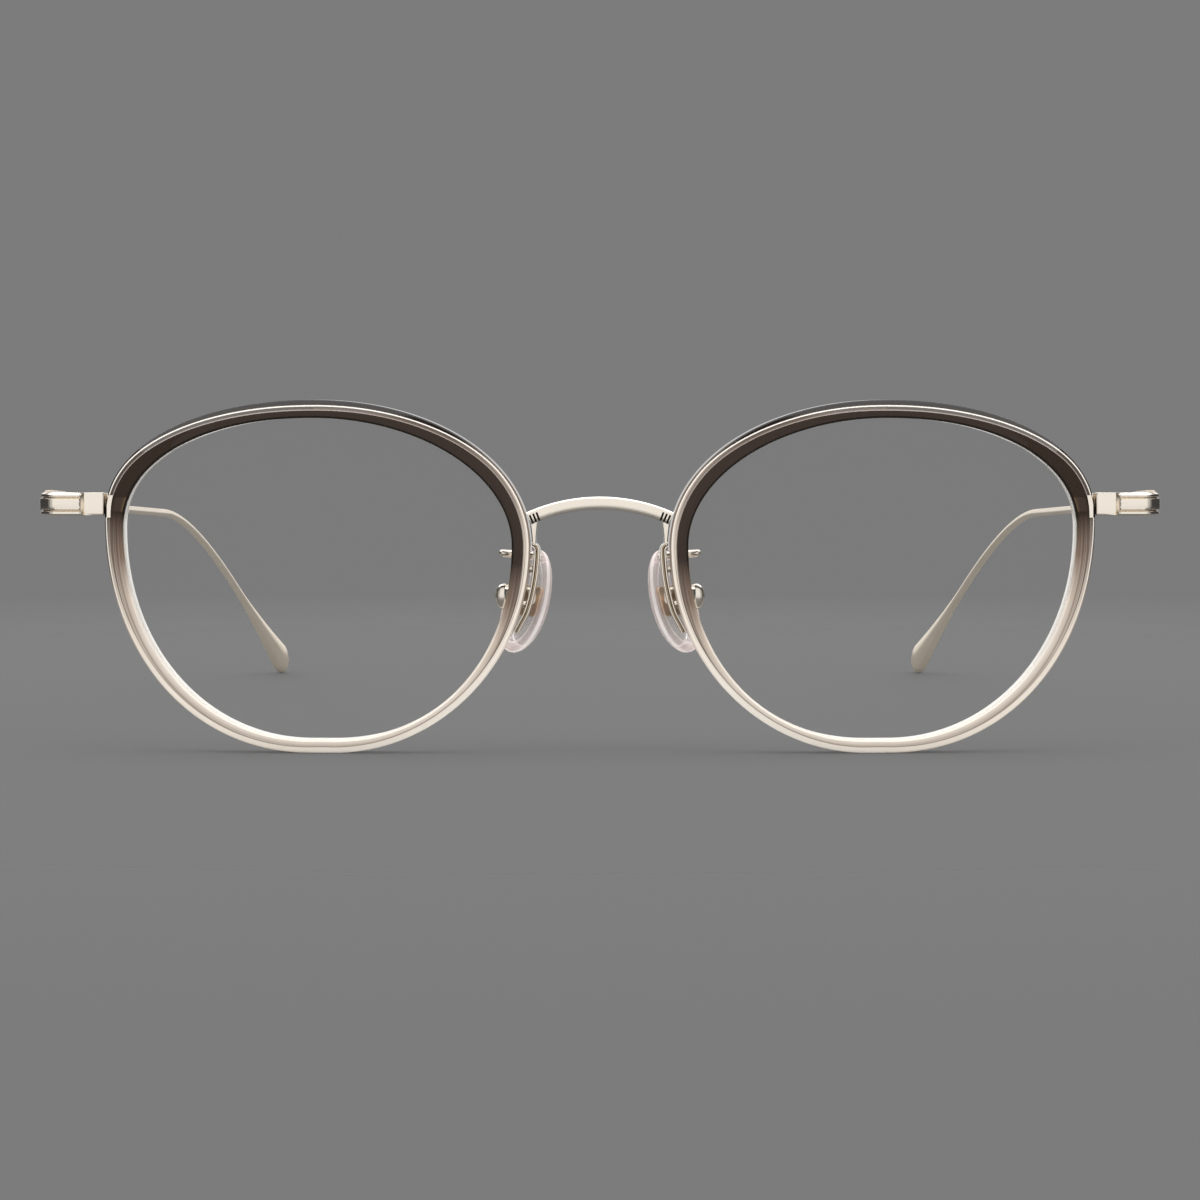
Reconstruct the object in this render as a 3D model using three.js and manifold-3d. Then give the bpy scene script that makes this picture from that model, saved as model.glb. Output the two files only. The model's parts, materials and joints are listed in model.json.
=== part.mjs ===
// Round eyeglasses with moulded acetate rims and a titanium bridge, end pieces and wire temples.
// Millimetres, +Z up. The front faces -Y and the temples run back along +Y, open, as on a table.
// Everything off the middle plane is shaped once for the +X side and mirrored for the -X side.
import * as THREE from "three";
import Module from "manifold-3d";
import { mergeVertices } from "three/addons/utils/BufferGeometryUtils.js";

const wasm = await Module();
wasm.setup();

// Lens opening of one rim
const LENS_WIDTH = 48.95;
const LENS_HEIGHT = 40.35;
const LENS_GAP = 22.3; // nose side to nose side, across the bridge
const OPENING_CROWN = 0.3; // highest point, from the middle of the opening towards the temple
const OPENING_FOOT = -0.6; // lowest point, the same way
const OPENING_NOSE_LEVEL = 4.2; // widest point on the nose side, above the middle
const OPENING_TEMPLE_LEVEL = 6.4; // widest point on the temple side
const OPENING_UPPER_TEMPLE_FULLNESS = 2.14; // 2 is an ellipse, more is squarer
const OPENING_UPPER_NOSE_FULLNESS = 1.97;
const OPENING_LOWER_NOSE_FULLNESS = 2.1;
const OPENING_LOWER_TEMPLE_FULLNESS = 2.06;

// Acetate rim
const RIM_TOP = 2.25; // widths of the front face at the four sides
const RIM_BOTTOM = 1.7;
const RIM_NOSE = 2.3;
const RIM_TEMPLE = 2.45;
const RIM_DEPTH = 3.6;
const RIM_NOSE_LEVEL = 4.0;
const RIM_TEMPLE_LEVEL = 7.9;
const RIM_UPPER_TEMPLE_FULLNESS = 2.11;
const RIM_UPPER_NOSE_FULLNESS = 2.06;
const RIM_LOWER_NOSE_FULLNESS = 1.98;
const RIM_LOWER_TEMPLE_FULLNESS = 2.1;
const RIM_FOOT_FLAT = 3; // straight stretch that the rim stands on
const RIM_EDGE = 0.22; // small bevel round the front of the opening
const RIM_BACK_EDGE = 0.35; // bevels of the back face
const FLANK_WIDTH = 0.85; // sloping outer band of the front face
const FLANK_DEPTH = 0.8;
const FLANK_CROWN = 0.18; // how far the sloping band bulges
const GROOVE_LEVEL = 1.4; // middle of the lens groove, behind the front face
const GROOVE_WIDTH = 1.2;
const GROOVE_DEPTH = 0.6;
const BASE_RADIUS = 130; // the front follows the curve of its lenses
const FACE_WRAP = 3; // each rim is turned back at its temple side, degrees

// Lens
const LENS_THICKNESS = 1.8;
const LENS_CLEARANCE = 0.1;

// Nose bracket, one piece of wire and sheet soldered under the end of the bridge
const BRACKET_TOP_LEVEL = 4.25; // foot of the leg, above the middle of the opening
const BRACKET_FOOT_LEVEL = -6.6;
const BRACKET_WIRE = 0.72; // across, seen from the front
const BRACKET_WIRE_DEPTH = 1.9;
const BRACKET_SETBACK = 1.2; // front of the wire, behind the front face of the rim
const BRACKET_STANDOFF = 0.4; // from the rim's outer wall
const BRACKET_LANDING = 0.3; // share of the wire that bends in to the rim at its foot
const BRACKET_BEND = 0.65; // radius of the turn from the leg into the wire
const LEG_WIDTH = 1; // under the bridge
const LEG_FOOT_WIDTH = 0.5;
const LEG_STANDOFF = 0.12; // from the rim's outer wall
const CLAW_LEVEL = 3.2;
const CLAW_DIAMETER = 1;
const CLAW_REACH = 1.9; // past the rim, behind the lens
const BRACKET_PIN_DIAMETER = 0.9;
const BRACKET_PIN_DEPTH = 1.2; // in the acetate
const BRACKET_PIN_UPPER_LEVEL = 1.2;
const BRACKET_PIN_LOWER_LEVEL = -3.2;
const BRACKET_PIN_SETBACK = 2.4;

// Bridge
const BRIDGE_LEVEL = 7.6; // middle of its ends, above the middle of the opening
const BRIDGE_RISE = 1.9;
const BRIDGE_HEIGHT = 1.6;
const BRIDGE_DEPTH = 1.8;
const BRIDGE_SETBACK = 0.5; // behind the front face of the rims
const BRIDGE_CLEARANCE = 0.3; // from its ends to the rims
const BRIDGE_EDGE = 0.3;
const BRIDGE_SLOTS = 3; // milled in the front of each end
const BRIDGE_SLOT_WIDTH = 0.22;
const BRIDGE_SLOT_DEPTH = 0.4;
const BRIDGE_SLOT_PITCH = 0.42;
const BRIDGE_SLOT_MARGIN = 0.1; // end of the bridge to the first slot
const BRIDGE_SLOT_LAND = 0.45; // left whole above the slots

// Nose pad and the arm that carries it
const PAD_LENGTH = 13.6;
const PAD_WIDTH = 9;
const PAD_FACE = 1.7; // crown of the face, on the nose side of the widest line
const PAD_BACK = 0.9;
const PAD_SPLAY = 34; // width of the pad against straight back, degrees
const PAD_LEAN = 18.7; // top of the pad towards the middle plane, degrees
const PAD_INSET = 0.1; // middle of the pad, from the rim's nose side towards the temple
const PAD_LEVEL = -3.15; // middle of the pad, above the middle of the opening
const PAD_SETBACK = 8.1; // middle of the pad, behind the front face of the rim
const INSERT_LENGTH = 4.8; // metal plate sunk in the back of the pad
const INSERT_WIDTH = 2.8;
const INSERT_THICKNESS = 0.5;
const TAB_THICKNESS = 0.8; // eye of the insert, between the cheeks of the arm's box
const TAB_RADIUS = 0.8;
const PAD_SCREW_HEIGHT = 1.8; // screw above the middle of the pad
const PAD_SCREW_DIAMETER = 0.7;
const PAD_SCREW_HEAD = 1.15;
const PAD_SCREW_HEAD_HEIGHT = 0.3;
const BOX_CHEEK = 0.45;
const BOX_FLOOR = 0.5;
const BOX_LENGTH = 2.4;
const ARM_LEVEL = -2.1; // where the arm leaves the bracket
const ARM_HEIGHT = 2;
const ARM_THICKNESS = 0.9;
const ARM_LOOP_HEIGHT = 2.9; // the wire is swaged wider round its loop
const ARM_LOOP_THICKNESS = 1.3;
const ARM_LOOP_REACH = 0.85; // middle of the loop, past the inner edge of the rim

// End piece
const END_LEVEL = 9.3; // above the middle of the opening
const END_HEIGHT = 2.9;
const END_THICKNESS = 1.35;
const END_REACH = 8.5; // rim to the outer face of the end piece
const END_SETBACK = 0.3; // behind the front face of the rim
const END_CORNER = 2.2;
const END_LENGTH_BACK = 5.9; // front face to the face that the temple meets
const END_RIB_HEIGHT = 1.45;
const END_RIB_RISE = 0.16;
const END_BLOCK_WIDTH = 2.3;
const END_BLOCK_RISE = 0.12;
const END_SCOOP_RADIUS = 0.6; // round groove between the block and the ribbed bar
const END_SCOOP_DEPTH = 0.22;
const END_NECK_WIDTH = 0.22;
const END_NECK_HEIGHT = 2.2;
const END_NECK_SETBACK = 1;
const SADDLE_HEIGHT = 2.8;
const SADDLE_DROP = 0.25; // middle of the saddle, below the middle of the bar
const SADDLE_THICKNESS = 0.16;
const SADDLE_BACK = 2.9;
const TONGUE_HEIGHT = 2;
const TONGUE_LENGTH = 1.9;
const TONGUE_THICKNESS = 0.9;
const TONGUE_SETBACK = 2.2;

// Hinge of three knuckles
const KNUCKLE_RADIUS = 1.05;
const KNUCKLE_FRONT_HEIGHT = 0.5;
const KNUCKLE_TEMPLE_HEIGHT = 0.7;
const HINGE_LEAF_LENGTH = 3;
const HINGE_LEAF_THICKNESS = 0.5;
const HINGE_SCREW_DIAMETER = 1.1;
const HINGE_SCREW_HEAD = 1.7;
const HINGE_SCREW_HEAD_HEIGHT = 0.25;
const HINGE_SCREW_TAIL = 0.2;
const WASHER_THICKNESS = 0.12;
const SCREW_SLOT_WIDTH = 0.24;
const SCREW_SLOT_DEPTH = 0.15;

// Temple
const TEMPLE_SLOPE = 2.8; // down towards the back, degrees
const TEMPLE_SWEEP = 4.6; // in towards the middle plane, degrees
const TEMPLE_STRAIGHT = 98; // hinge face to the corner of the ear bend
const TEMPLE_DROP = 34.7; // slope behind the ear bend, degrees
const TEMPLE_TUCK = 18.5; // inward turn behind the ear bend, degrees
const TEMPLE_BEND = 21; // each side of the corner that the bend rounds off
const TEMPLE_THICKNESS = 1.35;
const TEMPLE_PLATE_HEIGHT = 3.25; // at the hinge
const TEMPLE_PLATE_LENGTH = 5;
const TEMPLE_TAPER_LENGTH = 24;
const TEMPLE_WIRE = 1.1;
const TIP_WIDTH = 4.6;
const TIP_THICKNESS = 2;
const TIP_ROUND = 3.2; // rounded end of the tip
const TIP_REST = 0.75; // middle of the tip's end above the table

// Fits
const SOLDER_GAP = 0.05;
const SEAT_CLEARANCE = 0.06;
const TURNING_CLEARANCE = 0.07;

// Facets
const QUARTER_STEPS = 16;
const ROUND_STEPS = 16;
const WIRE_STEPS = 12;

const degrees = THREE.MathUtils.degToRad;
const lerp = THREE.MathUtils.lerp;
const vec = (x, y, z) => new THREE.Vector3(x, y, z);
const UP = vec(0, 0, 1);

// Materials
const acetate = new THREE.MeshStandardMaterial({ color: 0x8a7a6c, roughness: 0.12, metalness: 0 });
const lensPlastic = new THREE.MeshStandardMaterial({ color: 0xeef2f2, roughness: 0.02, metalness: 0 });
const goldMetal = new THREE.MeshStandardMaterial({ color: 0xd9c9a8, roughness: 0.25, metalness: 1 });
const satinGold = new THREE.MeshStandardMaterial({ color: 0xcbb997, roughness: 0.42, metalness: 1 });
const silicone = new THREE.MeshStandardMaterial({ color: 0xe3d2cb, roughness: 0.3, metalness: 0 });
const washerNylon = new THREE.MeshStandardMaterial({ color: 0xe8e4da, roughness: 0.5, metalness: 0 });

// Solids

// Turns every triangle round if the surface encloses a negative volume.
function facingOut(geometry) {
  const at = geometry.getAttribute("position");
  const index = geometry.index.array;
  const [a, b, c] = [vec(), vec(), vec()];
  let volume = 0;
  for (let i = 0; i < index.length; i += 3) {
    a.fromBufferAttribute(at, index[i]);
    b.fromBufferAttribute(at, index[i + 1]);
    c.fromBufferAttribute(at, index[i + 2]);
    volume += a.dot(b.cross(c));
  }
  if (volume < 0) geometry.setIndex([...index].reverse());
  return geometry;
}

// The triangles that close a flat ring, as places in the ring.
function capOf(ring) {
  const normal = vec(0, 0, 0);
  ring.forEach((p, i) => normal.add(p.clone().cross(ring[(i + 1) % ring.length])));
  const across = ring[1].clone().sub(ring[0]).normalize();
  const other = normal.normalize().cross(across);
  const flat = ring.map((p) => new THREE.Vector2(p.dot(across), p.dot(other)));
  return THREE.ShapeUtils.triangulateShape(flat, []);
}

// A closed surface through rings with equal numbers of points. An open run ends in flat caps, or in two tips.
function loft(rings, { loop = false, tips = null } = {}) {
  const count = rings[0].length;
  const points = rings.flat();
  const index = [];
  const spans = loop ? rings.length : rings.length - 1;
  for (let i = 0; i < spans; i++) {
    const here = i * count;
    const next = ((i + 1) % rings.length) * count;
    for (let j = 0; j < count; j++) {
      const k = (j + 1) % count;
      index.push(here + j, here + k, next + k, here + j, next + k, next + j);
    }
  }
  const last = (rings.length - 1) * count;
  if (tips) {
    const start = points.push(tips[0]) - 1;
    const end = points.push(tips[1]) - 1;
    for (let j = 0; j < count; j++) {
      const k = (j + 1) % count;
      index.push(start, k, j, end, last + j, last + k);
    }
  } else if (!loop) {
    for (const [a, b, c] of capOf(rings[0])) index.push(a, c, b);
    for (const [a, b, c] of capOf(rings.at(-1))) index.push(last + a, last + b, last + c);
  }
  const geometry = new THREE.BufferGeometry().setFromPoints(points);
  geometry.setIndex(index);
  return facingOut(geometry);
}

// Drops what a boolean doesn't need and merges the seam of a lathed or extruded shape.
function bare(geometry) {
  geometry.deleteAttribute("normal");
  geometry.deleteAttribute("uv");
  return facingOut(mergeVertices(geometry, 1e-4));
}

function solid(geometry) {
  return new wasm.Manifold(
    new wasm.Mesh({
      numProp: 3,
      vertProperties: new Float32Array(geometry.getAttribute("position").array),
      triVerts: new Uint32Array(geometry.index.array),
    }),
  );
}

function geometryOf(manifold) {
  const mesh = manifold.getMesh();
  const geometry = new THREE.BufferGeometry();
  geometry.setAttribute("position", new THREE.BufferAttribute(mesh.vertProperties, 3));
  geometry.setIndex(new THREE.BufferAttribute(mesh.triVerts, 1));
  return geometry;
}

const join = (...geometries) => geometryOf(geometries.map(solid).reduce((all, one) => all.add(one)));
const cut = (geometry, ...tools) => geometryOf(tools.map(solid).reduce((all, one) => all.subtract(one), solid(geometry)));

// Points of an oval in the plane of two directions; fullness above 2 squares it up.
function ovalRing(centre, across, along, halfAcross, halfAlong, fullness = 2, steps = WIRE_STEPS) {
  const ring = [];
  for (let i = 0; i < steps; i++) {
    const angle = (2 * Math.PI * (i + 0.5)) / steps;
    const [c, s] = [Math.cos(angle), Math.sin(angle)];
    const a = Math.sign(c) * Math.abs(c) ** (2 / fullness) * halfAcross;
    const b = Math.sign(s) * Math.abs(s) ** (2 / fullness) * halfAlong;
    ring.push(centre.clone().addScaledVector(across, a).addScaledVector(along, b));
  }
  return ring;
}

// A round rod between two points.
function rod(from, to, diameter) {
  const along = to.clone().sub(from).normalize();
  const across = Math.abs(along.z) < 0.9 ? along.clone().cross(UP).normalize() : vec(1, 0, 0);
  const other = along.clone().cross(across);
  const radius = diameter / 2;
  return loft([from, to].map((p) => ovalRing(p, across, other, radius, radius, 2, ROUND_STEPS)));
}

// A box from its middle, its three directions and its three sizes.
function box(centre, [a, b, c], [sizeA, sizeB, sizeC]) {
  const corners = [[-1, -1], [1, -1], [1, 1], [-1, 1]];
  const face = (end) =>
    corners.map(([i, j]) =>
      centre
        .clone()
        .addScaledVector(a, (i * sizeA) / 2)
        .addScaledVector(b, (j * sizeB) / 2)
        .addScaledVector(c, (end * sizeC) / 2),
    );
  return loft([face(-1), face(1)]);
}

// A slotted screw along +Z with its seat, the underside of the head, at the origin.
function screw(shankDiameter, headDiameter, headHeight, shankLength) {
  const [shank, head] = [shankDiameter / 2, headDiameter / 2];
  const crown = headHeight / 3;
  const profile = [
    [0, -shankLength],
    [shank, -shankLength],
    [shank, 0],
    [head, 0],
    [head, headHeight - crown],
    [head - crown, headHeight],
    [0, headHeight],
  ].map(([r, z]) => new THREE.Vector2(r, z));
  const body = bare(new THREE.LatheGeometry(profile, ROUND_STEPS).rotateX(Math.PI / 2));
  const slot = box(
    vec(0, 0, headHeight),
    [vec(1, 0, 0), vec(0, 1, 0), UP],
    [2 * headDiameter, SCREW_SLOT_WIDTH, 2 * SCREW_SLOT_DEPTH],
  );
  return cut(body, slot);
}

// Outlines of the opening and of the rim, as (u, v): u towards the temple, v up, from the middle of the opening

const halfFlat = RIM_FOOT_FLAT / 2;
const opening = {
  nose: new THREE.Vector2(-LENS_WIDTH / 2, OPENING_NOSE_LEVEL),
  temple: new THREE.Vector2(LENS_WIDTH / 2, OPENING_TEMPLE_LEVEL),
  top: new THREE.Vector2(OPENING_CROWN, LENS_HEIGHT / 2),
  noseFoot: new THREE.Vector2(OPENING_FOOT - halfFlat, -LENS_HEIGHT / 2),
  templeFoot: new THREE.Vector2(OPENING_FOOT + halfFlat, -LENS_HEIGHT / 2),
  upperTemple: OPENING_UPPER_TEMPLE_FULLNESS,
  upperNose: OPENING_UPPER_NOSE_FULLNESS,
  lowerNose: OPENING_LOWER_NOSE_FULLNESS,
  lowerTemple: OPENING_LOWER_TEMPLE_FULLNESS,
};
const rimEdge = {
  nose: new THREE.Vector2(-LENS_WIDTH / 2 - RIM_NOSE, RIM_NOSE_LEVEL),
  temple: new THREE.Vector2(LENS_WIDTH / 2 + RIM_TEMPLE, RIM_TEMPLE_LEVEL),
  top: new THREE.Vector2(OPENING_CROWN, LENS_HEIGHT / 2 + RIM_TOP),
  noseFoot: new THREE.Vector2(OPENING_FOOT - halfFlat, -LENS_HEIGHT / 2 - RIM_BOTTOM),
  templeFoot: new THREE.Vector2(OPENING_FOOT + halfFlat, -LENS_HEIGHT / 2 - RIM_BOTTOM),
  upperTemple: RIM_UPPER_TEMPLE_FULLNESS,
  upperNose: RIM_UPPER_NOSE_FULLNESS,
  lowerNose: RIM_LOWER_NOSE_FULLNESS,
  lowerTemple: RIM_LOWER_TEMPLE_FULLNESS,
};

// A quarter from a side's widest point to the top or the bottom.
function quarter(side, pole, fullness) {
  const points = [];
  for (let i = 0; i <= QUARTER_STEPS; i++) {
    const angle = (Math.PI / 2) * (i / QUARTER_STEPS);
    const towardsSide = Math.max(0, Math.cos(angle)) ** (2 / fullness);
    const towardsPole = Math.sin(angle) ** (2 / fullness);
    points.push(new THREE.Vector2(lerp(pole.x, side.x, towardsSide), lerp(side.y, pole.y, towardsPole)));
  }
  return points;
}

// The whole outline, round from the temple side over the top, with the flat that the rim stands on.
function outline(o) {
  return [
    ...quarter(o.temple, o.top, o.upperTemple).slice(0, -1),
    ...quarter(o.nose, o.top, o.upperNose).reverse().slice(0, -1),
    ...quarter(o.nose, o.noseFoot, o.lowerNose),
    ...quarter(o.temple, o.templeFoot, o.lowerTemple).reverse().slice(0, -1),
  ];
}

// The u of an outline's nose or temple side at a level v.
function sideAt(o, name, v) {
  const side = o[name];
  const upper = v > side.y;
  const pole = upper ? o.top : o[name + "Foot"];
  const fullness = o[(upper ? "upper" : "lower") + (name === "nose" ? "Nose" : "Temple")];
  const towardsPole = Math.min(1, (v - side.y) / (pole.y - side.y)) ** (fullness / 2);
  const towardsSide = Math.sqrt(1 - towardsPole ** 2) ** (2 / fullness);
  return lerp(pole.x, side.x, towardsSide);
}

const LENS_X = LENS_GAP / 2 + LENS_WIDTH / 2;
const LENS_Z = RIM_BOTTOM + LENS_HEIGHT / 2;

// The point of the curved and wrapped front at (u, v), w behind the front face.
function place(u, v, w) {
  const wrap = degrees(FACE_WRAP);
  const back = w + BASE_RADIUS - Math.sqrt(BASE_RADIUS ** 2 - u ** 2 - v ** 2);
  return vec(
    LENS_X + u * Math.cos(wrap) - back * Math.sin(wrap),
    u * Math.sin(wrap) + back * Math.cos(wrap),
    LENS_Z + v,
  );
}

// Rim: a grooved band round the opening, with a blind slot and two blind holes for what is sunk in it

const openingLine = outline(opening);
const rimLine = outline(rimEdge);

function rimSection(inner, outer) {
  const across = outer.clone().sub(inner);
  const wall = across.length();
  across.normalize();
  const halfGroove = GROOVE_WIDTH / 2;
  const profile = [
    [RIM_EDGE, 0],
    [wall - FLANK_WIDTH, 0],
    [wall - FLANK_WIDTH / 2 + FLANK_CROWN, FLANK_DEPTH / 2 - FLANK_CROWN],
    [wall, FLANK_DEPTH],
    [wall, RIM_DEPTH - RIM_BACK_EDGE],
    [wall - RIM_BACK_EDGE, RIM_DEPTH],
    [RIM_BACK_EDGE, RIM_DEPTH],
    [0, RIM_DEPTH - RIM_BACK_EDGE],
    [0, GROOVE_LEVEL + halfGroove],
    [GROOVE_DEPTH, GROOVE_LEVEL],
    [0, GROOVE_LEVEL - halfGroove],
    [0, RIM_EDGE],
  ];
  return profile.map(([offset, w]) => {
    const at = inner.clone().addScaledVector(across, offset);
    return place(at.x, at.y, w);
  });
}

// A bar with a rectangular section that runs sideways in the rim, grown all round by a clearance.
function sideBar(u0, u1, v, height, w0, w1, clearance) {
  const ring = (u) => [
    place(u, v - height / 2 - clearance, w0 - clearance),
    place(u, v + height / 2 + clearance, w0 - clearance),
    place(u, v + height / 2 + clearance, w1 + clearance),
    place(u, v - height / 2 - clearance, w1 + clearance),
  ];
  return loft([u0, u1].map(ring));
}

const endSide = sideAt(rimEdge, "temple", END_LEVEL);
const noseSide = (v) => sideAt(rimEdge, "nose", v);
const pastSide = RIM_EDGE; // how far a cutting tool stands past the surface that it cuts

function tongue(clearance, outer) {
  return sideBar(
    endSide - TONGUE_LENGTH - clearance,
    outer,
    END_LEVEL,
    TONGUE_HEIGHT,
    TONGUE_SETBACK,
    TONGUE_SETBACK + TONGUE_THICKNESS,
    clearance,
  );
}

// A point off the rim's nose side at a level, square to its outline and to its depth.
function besideNose(v, offset, w) {
  const step = 0.01;
  const wrap = degrees(FACE_WRAP);
  const along = new THREE.Vector2(noseSide(v + step) - noseSide(v - step), 2 * step).normalize();
  const off = vec(-along.y * Math.cos(wrap), -along.y * Math.sin(wrap), along.x);
  return place(noseSide(v), v, w).addScaledVector(off, offset);
}

// How far the bracket's wire stands off the rim at a level.
function standoff(v) {
  const landing = (BRACKET_TOP_LEVEL - BRACKET_FOOT_LEVEL) * BRACKET_LANDING;
  const rise = THREE.MathUtils.smoothstep(v, BRACKET_FOOT_LEVEL, BRACKET_FOOT_LEVEL + landing);
  return lerp(SEAT_CLEARANCE, BRACKET_STANDOFF, rise);
}

// A bracket pin runs from the bracket's wire into the acetate.
function bracketPin(v, clearance) {
  return rod(
    besideNose(v, standoff(v) - SOLDER_GAP, BRACKET_PIN_SETBACK),
    besideNose(v, -BRACKET_PIN_DEPTH - clearance, BRACKET_PIN_SETBACK),
    BRACKET_PIN_DIAMETER + 2 * clearance,
  );
}

const pinLevels = [BRACKET_PIN_UPPER_LEVEL, BRACKET_PIN_LOWER_LEVEL];

function rim() {
  const band = loft(openingLine.map((inner, i) => rimSection(inner, rimLine[i])), { loop: true });
  const holes = pinLevels.map((v) => bracketPin(v, SEAT_CLEARANCE));
  return cut(band, tongue(SEAT_CLEARANCE, endSide + pastSide), ...holes);
}

// Lens: two like curves with a bevelled edge that sits in the groove

function lens() {
  const front = GROOVE_LEVEL - LENS_THICKNESS / 2;
  const back = GROOVE_LEVEL + LENS_THICKNESS / 2;
  const halfBevel = GROOVE_WIDTH / 2 - LENS_CLEARANCE;
  const edge = (offset, w) =>
    openingLine.map((inner, i) => {
      const out = rimLine[i].clone().sub(inner).normalize();
      const at = inner.clone().addScaledVector(out, offset);
      return place(at.x, at.y, w);
    });
  const surface = (share, w) => openingLine.map((p) => place(p.x * share, p.y * share, w));
  const shares = [1 / 3, 2 / 3];
  return loft(
    [
      ...shares.map((share) => surface(share, front)),
      edge(-LENS_CLEARANCE, front),
      edge(-LENS_CLEARANCE, GROOVE_LEVEL - halfBevel),
      edge(GROOVE_DEPTH - LENS_CLEARANCE, GROOVE_LEVEL),
      edge(-LENS_CLEARANCE, GROOVE_LEVEL + halfBevel),
      edge(-LENS_CLEARANCE, back),
      ...shares.toReversed().map((share) => surface(share, back)),
    ],
    { tips: [place(0, 0, front), place(0, 0, back)] },
  );
}

// Nose bracket: a flat wire down the nose side of the rim, a leg up to the bridge and a claw behind the rim

const halfWire = BRACKET_WIRE / 2;
const bracketDepth = BRACKET_SETBACK + BRACKET_WIRE_DEPTH / 2;

const wireMiddle = (v, w = bracketDepth) => besideNose(v, standoff(v) + halfWire, w);

const wireTop = BRACKET_TOP_LEVEL - BRACKET_BEND;

// The middle of the wire: a quarter turn out of the leg's foot, then down the rim.
function wirePath() {
  const points = [];
  for (let i = 0; i < WIRE_STEPS / 2; i++) {
    const angle = (Math.PI * i) / WIRE_STEPS;
    const offset = standoff(wireTop) + halfWire - BRACKET_BEND * (1 - Math.sin(angle));
    points.push(besideNose(wireTop + BRACKET_BEND * Math.cos(angle), offset, bracketDepth));
  }
  for (let i = 0; i <= QUARTER_STEPS; i++) {
    points.push(wireMiddle(lerp(wireTop, BRACKET_FOOT_LEVEL, i / QUARTER_STEPS)));
  }
  return points;
}

function bracketWire() {
  const straightBack = place(0, 0, 1).sub(place(0, 0, 0));
  const path = wirePath();
  const last = path.length - 1;
  const rings = path.map((at, i) => {
    const along = path[Math.min(i + 1, last)].clone().sub(path[Math.max(i - 1, 0)]).normalize();
    const across = along.clone().cross(straightBack).normalize();
    const depth = across.clone().cross(along);
    return ovalRing(at, across, depth, halfWire, BRACKET_WIRE_DEPTH / 2, 3);
  });
  return loft(rings);
}

const bridgeEndX = place(noseSide(BRIDGE_LEVEL), BRIDGE_LEVEL, 0).x - BRIDGE_CLEARANCE;
const bridgeFrontY = place(noseSide(BRIDGE_LEVEL), BRIDGE_LEVEL, BRIDGE_SETBACK).y;
const bridgeRadius = (bridgeEndX ** 2 + BRIDGE_RISE ** 2) / (2 * BRIDGE_RISE);
const bridgeCentreZ = LENS_Z + BRIDGE_LEVEL + BRIDGE_RISE - bridgeRadius;
const bridgeZ = (x, radius = bridgeRadius) => bridgeCentreZ + Math.sqrt(radius ** 2 - x ** 2);

// The leg follows the rim's wall on one side and widens on the other, up to the bridge.
function bracketLeg() {
  const steps = WIRE_STEPS / 2;
  const top = BRIDGE_LEVEL - BRIDGE_HEIGHT / 2;
  const rings = [];
  for (let i = 0; i <= steps; i++) {
    const share = i / steps;
    const width = lerp(LEG_FOOT_WIDTH, LEG_WIDTH, share ** 2);
    const v = lerp(BRACKET_TOP_LEVEL, top, share);
    const at = besideNose(v, LEG_STANDOFF + width / 2, bracketDepth);
    at.y = lerp(at.y, bridgeFrontY + BRIDGE_DEPTH / 2, share);
    rings.push(ovalRing(at, vec(1, 0, 0), vec(0, 1, 0), width / 2, BRACKET_WIRE_DEPTH / 2 - SOLDER_GAP, 4));
  }
  for (const p of rings.at(-1)) p.z = bridgeZ(p.x, bridgeRadius - BRIDGE_HEIGHT / 2) - SOLDER_GAP;
  return loft(rings);
}

// Rings of a round wire through a list of points, with its end domed.
function wireRings(points, diameter) {
  const path = new THREE.CatmullRomCurve3(points, false, "centripetal");
  const steps = points.length * 2;
  const rings = [];
  for (let i = 0; i <= steps; i++) {
    const along = path.getTangent(i / steps);
    const across = along.clone().cross(UP).normalize();
    rings.push(ovalRing(path.getPoint(i / steps), across, UP, diameter / 2, diameter / 2));
  }
  const end = path.getTangent(1);
  const across = end.clone().cross(UP).normalize();
  for (const lean of [30, 60]) {
    const centre = points.at(-1).clone().addScaledVector(end, (diameter / 2) * Math.sin(degrees(lean)));
    const radius = (diameter / 2) * Math.cos(degrees(lean));
    rings.push(ovalRing(centre, across, UP, radius, radius));
  }
  return rings;
}

const behindRim = RIM_DEPTH + BRACKET_STANDOFF;

function bracketClaw() {
  const v = CLAW_LEVEL;
  const inner = sideAt(opening, "nose", v);
  const w = behindRim + CLAW_DIAMETER / 2;
  return loft(
    wireRings(
      [
        wireMiddle(v),
        wireMiddle(v, RIM_DEPTH),
        place(lerp(noseSide(v), inner, 0.15), v, w),
        place(inner, v, w),
        place(inner + CLAW_REACH - CLAW_DIAMETER / 2, v, w),
      ],
      CLAW_DIAMETER,
    ),
  );
}

const noseBracket = () => join(bracketWire(), bracketLeg(), bracketClaw());

// Bridge: an arched bar with slots milled in the front of each end

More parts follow.
